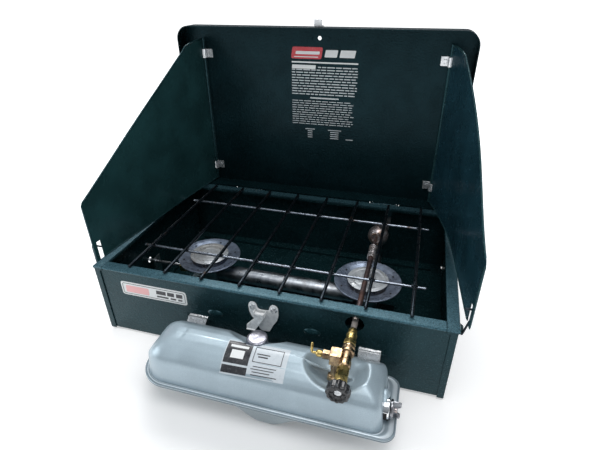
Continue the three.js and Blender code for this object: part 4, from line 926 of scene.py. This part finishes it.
def burners():
    for side in ("left", "right"):
        low, high = box_mm(f"burner_dish_{side}")
        x, y = (low[0] + high[0]) / 2, (low[1] + high[1]) / 2
        reach = high[0] - x
        place = (x * MM, y * MM)
        # The ported rings get a dark copy of the burner steel: painted shade in the gap under the crown.
        ring_steel_shaded = burner_steel(f"burner_steel_{side}", place, 0.2, (0.13, 0.15, 0.19), (0.06, 0.07, 0.09))
        pan = burner_steel(f"burner_pan_{side}", place, 0.10, (0.36, 0.43, 0.55), (0.20, 0.25, 0.35), 0.6)
        # The crown gets a near-white, half-metallic copy of the burner steel: its own pale steel, partly
        # painted highlight.
        pale = burner_steel(f"burner_crown_{side}", place, 0.3 if side == "left" else 0.05,
                            (0.86, 0.89, 0.92), (0.60, 0.64, 0.68), 0.5)
        form = Form()
        form.spin((x, y, 0), (0, 0, 1),
                  [(67.6, 15.5), (67.6, 30), (69.2, 34.5), (72.2, 40), (73.4, 44), (73.2, reach - 0.3),
                   (74.3, reach), (75.3, reach - 0.7), (75.0, 44), (74.0, 40.5), (71.0, 35.5), (69.0, 31),
                   (68.8, 15.5)], sides=96, soft=0.9, ring_like=True)
        form.piece(f"burner_pan_{side}", pan, "case", (f"burner_dish_{side}",), angle=60.0)
        # Small dark discs stand for the pan's holes: painted shade.
        holes = Form()
        for i in range(6):
            angle = (i + 0.5) * math.pi / 3
            holes.spin((x + 38 * math.cos(angle), y + 38 * math.sin(angle), 72.6), (0, 0, 1),
                       [(0, 0), (0, 1.3), (0.35, 1.5), (0.6, 1.1), (0.6, 0)], sides=16, soft=0.1)
        holes.piece(f"burner_pan_holes_{side}", hole_shade_black, "case", (), "dark_steel")
        ports = lambda a, d: 1.0 + 0.022 * math.copysign(1, math.sin(40 * a)) * (1 if 70.9 < d < 75.7 else 0)
        form = Form()
        form.spin((x, y, 0), (0, 0, 1),
                  [(69.1, 9), (69.1, 27), (70.4, 27), (70.9, 25.2), (71.6, 25.2), (72.0, 27), (73.2, 27),
                   (73.7, 25.2), (74.4, 25.2), (74.8, 27), (76.0, 26.8), (76.0, 9)], sides=160, soft=0.25,
                  ring_like=True, shape=ports)
        form.piece(f"burner_rings_ported_{side}", ring_steel_shaded, "case", (f"burner_rings_{side}",))
        form = Form()
        form.spin((x, y, 0), (0, 0, 1),
                  [(66, 0), (66, 2), (76.3, 2.1), (76.4, 27.4), (76.9, 28.2), (77.5, 27.6), (77.6, 25),
                   (78.4, 23.6),
                   (78.3, 22), (77.6, 20.6), (77.9, 18.5), (78.5, 15), (78.3, 12.5), (77.9, 11.5), (78.4, 10),
                   (78.8, 6), (78.7, 4), (79.6, 3.2), (80.0, 2.2), (80.0, 0)], sides=96, soft=0.5)
        form.piece(f"burner_crown_{side}", pale, "case", (f"burner_cap_{side}",), angle=60.0)
        low, high = box_mm(f"burner_cup_{side}")
        form = Form()
        form.spin((x, y, 0), (0, 0, 1),
                  [(low[2], 0), (low[2], 15.4), (low[2] + 1, 16), (59, 16), (61, 17.2), (65.4, 29),
                   (66.2, 30),
                   (67.1, 29.6), (62.4, 17), (60.6, 14.8), (29, 14.6), (28, 13.8), (28, 0)], sides=64,
                   soft=0.8)
        form.piece(f"burner_cup_drawn_{side}", tube_steel, "case", (f"burner_cup_{side}",))
    low, high = box_mm("manifold_tube")
    y, z = (low[1] + high[1]) / 2, (low[2] + high[2]) / 2
    Form().spin((0, y, z), (1, 0, 0),
                [(low[0], 10.6), (low[0], 12), (low[0] + 8, 12), (high[0] - 8, 12), (high[0], 12),
                 (high[0], 10.6)],
                sides=64, ring_like=True).piece("manifold_drawn", tube_steel, "case", ("manifold_tube",))


def mixing():
    low, high = box_mm("mixing_bowl")
    x, y = (low[0] + high[0]) / 2, 74.0
    radius = (high[0] - low[0]) / 2
    z = low[2] + 14
    profile = [(-14.0, 7.4)]
    profile += [(radius * math.sin(a), radius * math.cos(a)) for a in np.linspace(-1.06, 1.40, 16)]
    profile += [(radius + 0.6, 3.2), (radius + 2.5, 3.0), (radius + 3.0, 1.6), (radius + 3.0, 0)]
    form = Form().spin((x, y, z), (0, 0, 1), [(-14.0, 0)] + profile, sides=48, soft=0.3)
    form.block((x - 3, y - 1, z + radius + 1), (x + 3, y + 1.5, high[2]), 0.5)
    form.spin((x - 2, y - radius + 2, z + 5), (0, -1, 0),
              [(0, 6.4), (0, 8.4), (3.4, 8.6), (4.0, 8.2), (4.0, 6.6)], sides=32, ring_like=True)
    form.piece("mixing_bowl_spun", bowl_steel, "case", ("mixing_bowl",), angle=50.0)
    low, high = box_mm("mixing_tube")
    Form().tube([(x, y, high[2]), (x, y, 46), (x, low[1], 46)], 9.0, 28, 14.0, round_ends=False).piece(
        "mixing_tube_bent", zinc, "case", ("mixing_tube",))


wires()
hooks()
burners()
mixing()

# ---------------------------------------------------------------- case, lid and baffles

for node in ("case_tray", "end_panel_left", "end_panel_right"):
    softened(node, enamel_out, 0.5)
softened("burner_rail", enamel_in, 0.5)
softened("lid_panel", enamel_lid_shaded, 0.5, 3)
softened("lid_strike", zinc_bright, 0.35)
for side in ("left", "right"):
    softened(f"hinge_leaf_{side}", enamel_out, 0.35)
    softened(f"hinge_pin_{side}", enamel_out, 0.3)
    for level in ("upper", "lower"):
        softened(f"baffle_clip_{side}_{level}", zinc_bright, 0.35)


def latch():
    low, high = box_mm("latch_plate")
    back, face = high[1], high[1] - 1.2
    left, right = low[0], high[0]
    mid = (left + right) / 2
    half = [(left, 93), (left + 0.5, 82), (left + 3.5, 74), (left + 9, 68), (mid - 6, 56), (mid - 3, 54),
            (mid + 6.5, 54),
            (right - 7.5, 65), (right - 2, 74), (right, 82), (right, 94), (right - 3, 97.5),
            (right - 8, 97.5),
            (right - 10.5, 94), (right - 11.5, 89), (mid + 5, 87.5), (mid - 5, 87.5), (left + 11.5, 89),
            (left + 10.5, 94), (left + 8, 97.5), (left + 3, 97.5)]
    form = Form().prism(rounded(half, 1.8, 3, closed=True), (0, back, 0), (1, 0, 0), (0, 0, 1), 1.2, 0.25)
    pivot_z, pivot_y = 84.0, -142.2
    for x in (4.0 - 7.0, 4.0 + 7.0):
        form.block((x - 0.6, pivot_y - 2.2, pivot_z - 3.4), (x + 0.6, back, pivot_z + 3.4), 0.3)
    form.piece("latch_plate_pressed", zinc_painted_light, "case", ("latch_plate",), angle=30.0)
    eyes = Form()
    for x in (mid - 13.5, mid + 13.5):
        eyes.spin((x, face, 90), (0, -1, 0),
                  [(-0.3, 2.0), (-0.3, 4.2), (0.7, 4.0), (1.5, 3.0), (1.6, 2.3), (1.1, 1.9)],
                  sides=32, soft=0.25, ring_like=True)
    eyes.piece("latch_eyelets", zinc, "case", (), "zinc", angle=50.0)
    low, high = box_mm("latch_lever")
    strap = [(-1.8, 85.0), (9.6, 85.0), (9.0, 77.0), (high[0] - 12.6, 57.5), (low[0] + 11.4, low[2] + 0.6),
             (low[0] + 0.4, low[2] + 0.6), (low[0] + 0.8, low[2] + 8), (-3.6, 75.5)]
    form = Form().prism(rounded(strap, 1.2, 3, closed=True), (0, high[1] - 2.2, 0), (1, 0, 0), (0, 0, 1),
                        1.3, 0.25)
    form.spin((4, pivot_y, pivot_z), (1, 0, 0), [(-5.8, 1.3), (-5.8, 2.4), (5.8, 2.4), (5.8, 1.3)], soft=0.2,
              ring_like=True)
    form.tube([(low[0] + 1.2, high[1] - 3.6, low[2] + 1.1), (low[0] + 10.8, high[1] - 3.6, low[2] + 1.1)],
              1.0, 12, 0.1)
    form.piece("latch_lever_strap", zinc_painted_light, "latch", ("latch_lever",), angle=30.0)


latch()
softened("bowl_bracket", zinc, 0.35)
softened("aux_valve_body", brass, 0.4)
softened("aux_rod_bracket", zinc, 0.35)
softened("aux_valve_lever", zinc_bright, 0.4)
softened("aux_valve_rod", zinc, 0.3)

BAFFLE_REACH = 298.0
FLARE_DEG = {"left": 6.3, "right": 9.2}
CLIP_Z = (140.0, 331.0)
CLIP_HALF = 7.3
WINDOW_REACH = 5.2
SLOT = (284.8, 291.6, 141.0)


def baffle_top(u):
    """The height of the baffle's upper edge at a distance from its hinge."""
    if u < 42:
        return 354.0 - 5.0 * (u / 42.0) ** 2
    if u < 56:
        t = (u - 42) / 14.0
        return 349.0 - 7.8 * t ** 1.6
    top = 341.2 + (201.0 - 341.2) * (u - 56) / (BAFFLE_REACH - 5 - 56)
    return top if u < BAFFLE_REACH - 5 else 201.0 - 6.0 * ((u - BAFFLE_REACH + 5) / 5.0) ** 2


def wind_baffle(side, sign, bow):
    low, high = box_mm(f"baffle_{side}")
    hinge_x = sign * 190.0
    hinge_y = high[1] - 2.0
    bottom = low[2]
    flare = math.radians(FLARE_DEG[side])
    ahead = np.array((sign * math.sin(flare), -math.cos(flare), 0.0))
    outward = np.array((sign * math.cos(flare), math.sin(flare), 0.0))

    def place(u, z, lift):
        share = min(1.0, max(0.0, u / BAFFLE_REACH))
        curve = bow * share * (1 - share) ** 1.6 / 0.1769
        ripple = 0.35 * math.sin(u * 0.045 + z * 0.021) * math.sin(math.pi * share)
        return np.array((hinge_x, hinge_y, z)) + ahead * u + outward * (lift + curve + ripple)

    columns = sorted(set([WINDOW_REACH] + [float(v) for v in np.linspace(10, 280, 46)]
                         + [282.0, SLOT[0], 288.2, SLOT[1], 293.5, 295.5, 297.2, BAFFLE_REACH]))
    low_rows, high_rows = 5, 34
    form = Form()
    for lift in (0.5, -0.5):
        for u in columns:
            for k in range(low_rows):
                form.verts.append(tuple(place(u, bottom + (SLOT[2] - bottom) * k / low_rows, lift)))
            for k in range(high_rows + 1):
                form.verts.append(tuple(place(u, SLOT[2] + (baffle_top(u) - SLOT[2]) * k / high_rows, lift)))
    rows = low_rows + high_rows + 1
    sheet = len(columns) * rows
    solid = {(c, r) for c in range(len(columns) - 1) for r in range(rows - 1)
             if not (SLOT[0] - 0.1 <= columns[c] < SLOT[1] - 0.1 and r < low_rows)}
    for c, r in solid:
        a = c * rows + r
        quad = (a, a + rows, a + rows + 1, a + 1)
        form.faces.append(quad)
        form.faces.append(tuple(sheet + v for v in reversed(quad)))
        for (dc, dr), (p, q) in {(-1, 0): (3, 0), (1, 0): (1, 2), (0, -1): (0, 1), (0, 1): (2, 3)}.items():
            if (c + dc, r + dr) not in solid:
                form.faces.append((quad[p], quad[q], sheet + quad[q], sheet + quad[p]))
    skin = form.piece(f"baffle_{side}_sheet", enamel_baffle_lit_and_shaded[side], f"baffle_{side}_leaf", (f"baffle_{side}",))
    hems = Form()
    hems.tube([place(u, bottom + 1.3, 0) for u in np.linspace(3, SLOT[0] - 1.5, 30)], 1.25, 10, 0.1,
              flat=0.75)
    hems.tube([place(BAFFLE_REACH - 1.0, z, 0) for z in np.linspace(SLOT[2] - 24, 193, 16)], 1.2, 10, 0.1)
    hems.tube([place(u, baffle_top(u) - 1.0, 0) for u in np.linspace(BAFFLE_REACH - 6, 60, 40)]
              + [place(u, baffle_top(u) - 1.0, 0) for u in np.linspace(57, 3, 20)], 1.15, 10, 0.1)
    edges = [bottom] + [z + way * CLIP_HALF for z in CLIP_Z for way in (-1, 1)] + [high[2]]
    for z0, z1 in zip(edges[::2], edges[1::2]):
        hems.loft([[place(0, z, 0.5), place(WINDOW_REACH + 0.4, z, 0.5), place(WINDOW_REACH + 0.4, z, -0.5),
                    place(0, z, -0.5)] for z in np.linspace(z0, z1, 5)])
    barrel = [place(0, z, 0) for z in np.linspace(bottom, high[2], 8)]
    hems.tube(barrel, 2.0, 16, 0.1, round_ends=False)
    hems.piece(f"baffle_{side}_hems", enamel_hem, f"baffle_{side}_leaf", (), "green_enamel")
    return skin


wind_baffle("left", -1, 2.0)
wind_baffle("right", 1, 10.9)

# ---------------------------------------------------------------- labels, with plain blocks in place of print


def patch(form, outline, origin, across, upward, lift, thick=0.12):
    normal = np.cross(np.array(across, float), np.array(upward, float))
    start = np.array(origin, float) + normal * lift
    return form.prism(outline, start, across, upward, thick, 0.03)


def bar_outline(x0, x1, z0, z1, slant=0.0, corner=0.3):
    return rounded([(x0, z0), (x1, z0), (x1 + slant, z1), (x0 + slant, z1)], corner, 3, closed=True)


def lid_label():
    low, high = box_mm("lid_panel")
    origin, across, up = (0, high[1] - 1.2, 0), (1, 0, 0), (0, 0, 1)
    badge = patch(Form(), bar_outline(-45, 3, 327.5, 344.5, 2.5, 3.0), origin, across, up, 0.02)
    badge.piece("lid_badge", red_ink, "lid", (), "green_enamel")
    form = Form()
    patch(form, bar_outline(-38, 0, 334, 338.5, 1.0, 1.5), origin, across, up, 0.16)
    patch(form, bar_outline(-40, -2, 329.8, 331.0, 0.4), origin, across, up, 0.16)
    patch(form, bar_outline(8, 27, 330.5, 341, 2.0, 1.2), origin, across, up, 0.02)
    patch(form, bar_outline(31, 54, 330.5, 341, 2.0, 1.2), origin, across, up, 0.02)
    patch(form, bar_outline(-44, 60, 321.5, 323.6), origin, across, up, 0.02)
    patch(form, bar_outline(-44, -6, 313.0, 318.6, 0.6, 0.8), origin, across, up, 0.02)
    form.piece("lid_label_heads", white_ink, "lid", (), "green_enamel")
    form = Form()
    z = 316.5
    while z > 272:
        start = -2 if z > 313 else -44
        x = start
        while x < 58:
            word = random.uniform(5, 13)
            patch(form, bar_outline(x, min(x + word, 60), z - 1.5, z), origin, across, up, 0.02)
            x += word + 1.5
        z -= 4.1
    patch(form, bar_outline(-14, 32, 268.0, 270.2), origin, across, up, 0.02)
    z = 264.5
    while z > 224:
        x = -44
        end = random.uniform(44, 60)
        while x < end - 3:
            word = random.uniform(4, 12)
            patch(form, bar_outline(x, min(x + word, end), z - 1.1, z), origin, across, up, 0.02)
            x += word + 1.6
        z -= 3.7
    for left, right, levels in ((-22, -6, 5), (16, 38, 5), (46, 58, 1)):
        for k in range(levels):
            level = 219.0 - 3.4 * k - (14 if levels == 1 else 0)
            inner = 4.0 if k else 0.0
            patch(form, bar_outline(left + inner, right - inner, level - 1.2, level), origin, across, up,
                  0.02)
    form.piece("lid_label_lines", grey_ink, "lid", (), "green_enamel")


def front_label():
    low, high = box_mm("case_tray")
    origin, across, up = (0, -137.0, 0), (1, 0, 0), (0, 0, 1)
    plate = patch(Form(), bar_outline(-193, -97, 69.5, 91, 0, 4.0), origin, across, up, 0.02, 0.25)
    plate.piece("front_label_plate", white_ink, "case", (), "green_enamel")
    form = Form()
    outer = rounded([(-190.5, 72), (-99.5, 72), (-99.5, 88.5), (-190.5, 88.5)], 3.0, 4, closed=True)
    form.tube([(p[0], -137.3, p[1]) for p in outer + outer[:1]], 0.55, 6, 0.05, flat=0.5)
    for x0, x1, z0, z1 in ((-141, -127, 79.5, 85.5), (-125, -115, 79.5, 85.5), (-112, -103, 79.5, 85.5),
                           (-141, -124, 74.6, 77.2), (-121, -113, 74.6, 77.2), (-110, -104, 74.6, 77.2)):
        patch(form, bar_outline(x0, x1, z0, z1, 0.5, 0.6), origin, across, up, 0.28)
    form.piece("front_label_print", black_ink, "case", (), "green_enamel")
    block = patch(Form(), bar_outline(-186.5, -152, 74.5, 85.5, 0.6, 1.8), origin, across, up, 0.28)
    block.piece("front_label_block", faded_red, "case", (), "green_enamel")


def tank_sheet(form, corners, lift, thick=0.14, nx=26, ny=10):
    """A printed patch that follows the tank's top."""
    a, b, c, d = (np.array(p, float) for p in corners)
    rings = []
    for i in range(nx + 1):
        s = i / nx
        ring = []
        for j in range(ny + 1):
            t = j / ny
            p = (a * (1 - s) + b * s) * (1 - t) + (d * (1 - s) + c * s) * t
            ring.append((p[0], p[1], top_height(p[0], p[1], inset_of(*p)) + lift + thick))
        ring += [(x, y, z - thick) for x, y, z in reversed(ring)]
        rings.append(ring)
    return form.loft(rings)


def tank_label():
    along, down = np.array((1.0, 0.03)), np.array((0.04, -1.0))
    corner = np.array((-16.0, -184.5))
    at = lambda x, y: tuple(corner + along * x + down * y)
    quad = lambda x0, x1, y0, y1: (at(x0, y0), at(x1, y0), at(x1, y1), at(x0, y1))
    tank_sheet(Form(), quad(0, 72, 0, 36), 0.03).piece("tank_label_sheet", label_film, "tank", (),
                                                       "tank_paint")
    form = tank_sheet(Form(), quad(1, 30, 2, 27), 0.19)
    tank_sheet(form, quad(1, 30, 29, 35), 0.19)
    form.piece("tank_label_dark", black_ink, "tank", (), "tank_paint")
    form = Form()
    for x0, x1, y0, y1 in ((5, 26, 7, 10), (8, 23, 13, 22)):
        tank_sheet(form, quad(x0, x1, y0, y1), 0.34, nx=8, ny=4)
    form.piece("tank_label_blocks", white_ink, "tank", (), "tank_paint")
    form = Form()
    frame_line = ((34, 5), (66, 5), (66, 22), (34, 22), (34, 5))
    for (x0, y0), (x1, y1) in zip(frame_line, frame_line[1:]):
        steps = [at(x0 + (x1 - x0) * k / 6, y0 + (y1 - y0) * k / 6) for k in range(7)]
        form.tube([(p[0], p[1], top_height(p[0], p[1], inset_of(*p)) + 0.20) for p in steps], 0.38, 6, 0.05)
    for x0, x1, y in ((37, 52, 12.6), (39, 50, 15.6)):
        tank_sheet(form, quad(x0, x1, y, y + 1.3), 0.19, nx=8, ny=1)
    for k, (x0, x1) in enumerate(((36, 62), (34, 60), (36, 56), (35, 64))):
        tank_sheet(form, quad(x0, x1, 26 + 2.4 * k, 26.6 + 2.4 * k), 0.19, nx=10, ny=1)
    form.piece("tank_label_lines", black_ink, "tank", (), "tank_paint")


lid_label()
front_label()
tank_label()

# ---------------------------------------------------------------- floor and light


def bright_floor():
    """A very large white floor under everything, a little self-lit as an overexposed sweep is; the glow is
    dimmed towards the stove and most of all around the tank's front, as a painted shadow.
    """
    mesh = bpy.data.meshes.new("floor")
    reach = 60.0
    z = -0.0003
    mesh.from_pydata([(-reach, -reach, z), (reach, -reach, z), (reach, reach, z), (-reach, reach, z)],
                     [], [(0, 1, 2, 3)])
    floor = bpy.data.objects.new("floor", mesh)
    bpy.context.scene.collection.objects.link(floor)
    s = Shade("floor_paper", Roughness=0.9, Specular_IOR_Level=0.1)
    tone = s.mix(s.span(s.noise(3, 3), 0.3, 0.7), (0.80, 0.80, 0.80), (0.78, 0.78, 0.785))
    s.bsdf.inputs["Emission Color"].default_value = (1.0, 1.0, 1.0, 1.0)
    far = s.distance_to(0.0, 0.0)
    near_tank = s.distance_to(0.02, -0.19)
    # less glow near the stove and least around the tank's front: painted shadow
    glow = s.times(s.span(far, 0.5, 1.5, 0.45, 1.0), s.span(near_tank, 0.10, 0.21, 0.32, 1.0))
    s.link(glow, s.bsdf.inputs["Emission Strength"])
    mesh.materials.append(s.done(tone))


def soft_light(name, place, aim, size, power, colour=(1.0, 1.0, 1.0)):
    data = bpy.data.lights.new(name, "AREA")
    data.shape = "RECTANGLE"
    data.size, data.size_y = size
    data.energy = power
    data.color = colour
    lamp = bpy.data.objects.new(name, data)
    lamp.location = place
    lamp.rotation_euler = (Vector(aim) - Vector(place)).to_track_quat("-Z", "Y").to_euler()
    bpy.context.scene.collection.objects.link(lamp)


def sky():
    world = bpy.data.worlds.new("studio")
    bpy.context.scene.world = world
    world.use_nodes = True
    tree = world.node_tree
    back = tree.nodes["Background"]
    coords = tree.nodes.new("ShaderNodeTexCoord")
    split = tree.nodes.new("ShaderNodeSeparateXYZ")
    ramp = tree.nodes.new("ShaderNodeValToRGB")
    tree.links.new(coords.outputs["Generated"], split.inputs[0])
    tree.links.new(split.outputs["Z"], ramp.inputs["Fac"])
    tree.links.new(ramp.outputs["Color"], back.inputs["Color"])
    ramp.color_ramp.elements[0].position = 0.0
    ramp.color_ramp.elements[0].color = (0.20, 0.22, 0.24, 1.0)
    ramp.color_ramp.elements[1].position = 0.75
    ramp.color_ramp.elements[1].color = (0.62, 0.66, 0.70, 1.0)
    back.inputs["Strength"].default_value = 0.55


bright_floor()
sky()
soft_light("key", (-0.45, 1.35, 1.75), (0.0, -0.05, 0.1), (1.6, 0.8), 36.0)
soft_light("top", (0.3, -0.4, 2.1), (0.0, -0.1, 0.0), (1.6, 1.0), 20.0)
soft_light("left", (-2.2, -0.9, 0.9), (-0.1, 0.0, 0.12), (1.0, 1.2), 20.0, (0.94, 0.98, 1.0))
bpy.context.scene.view_settings.view_transform = "Standard"
bpy.context.scene.view_settings.look = "None"
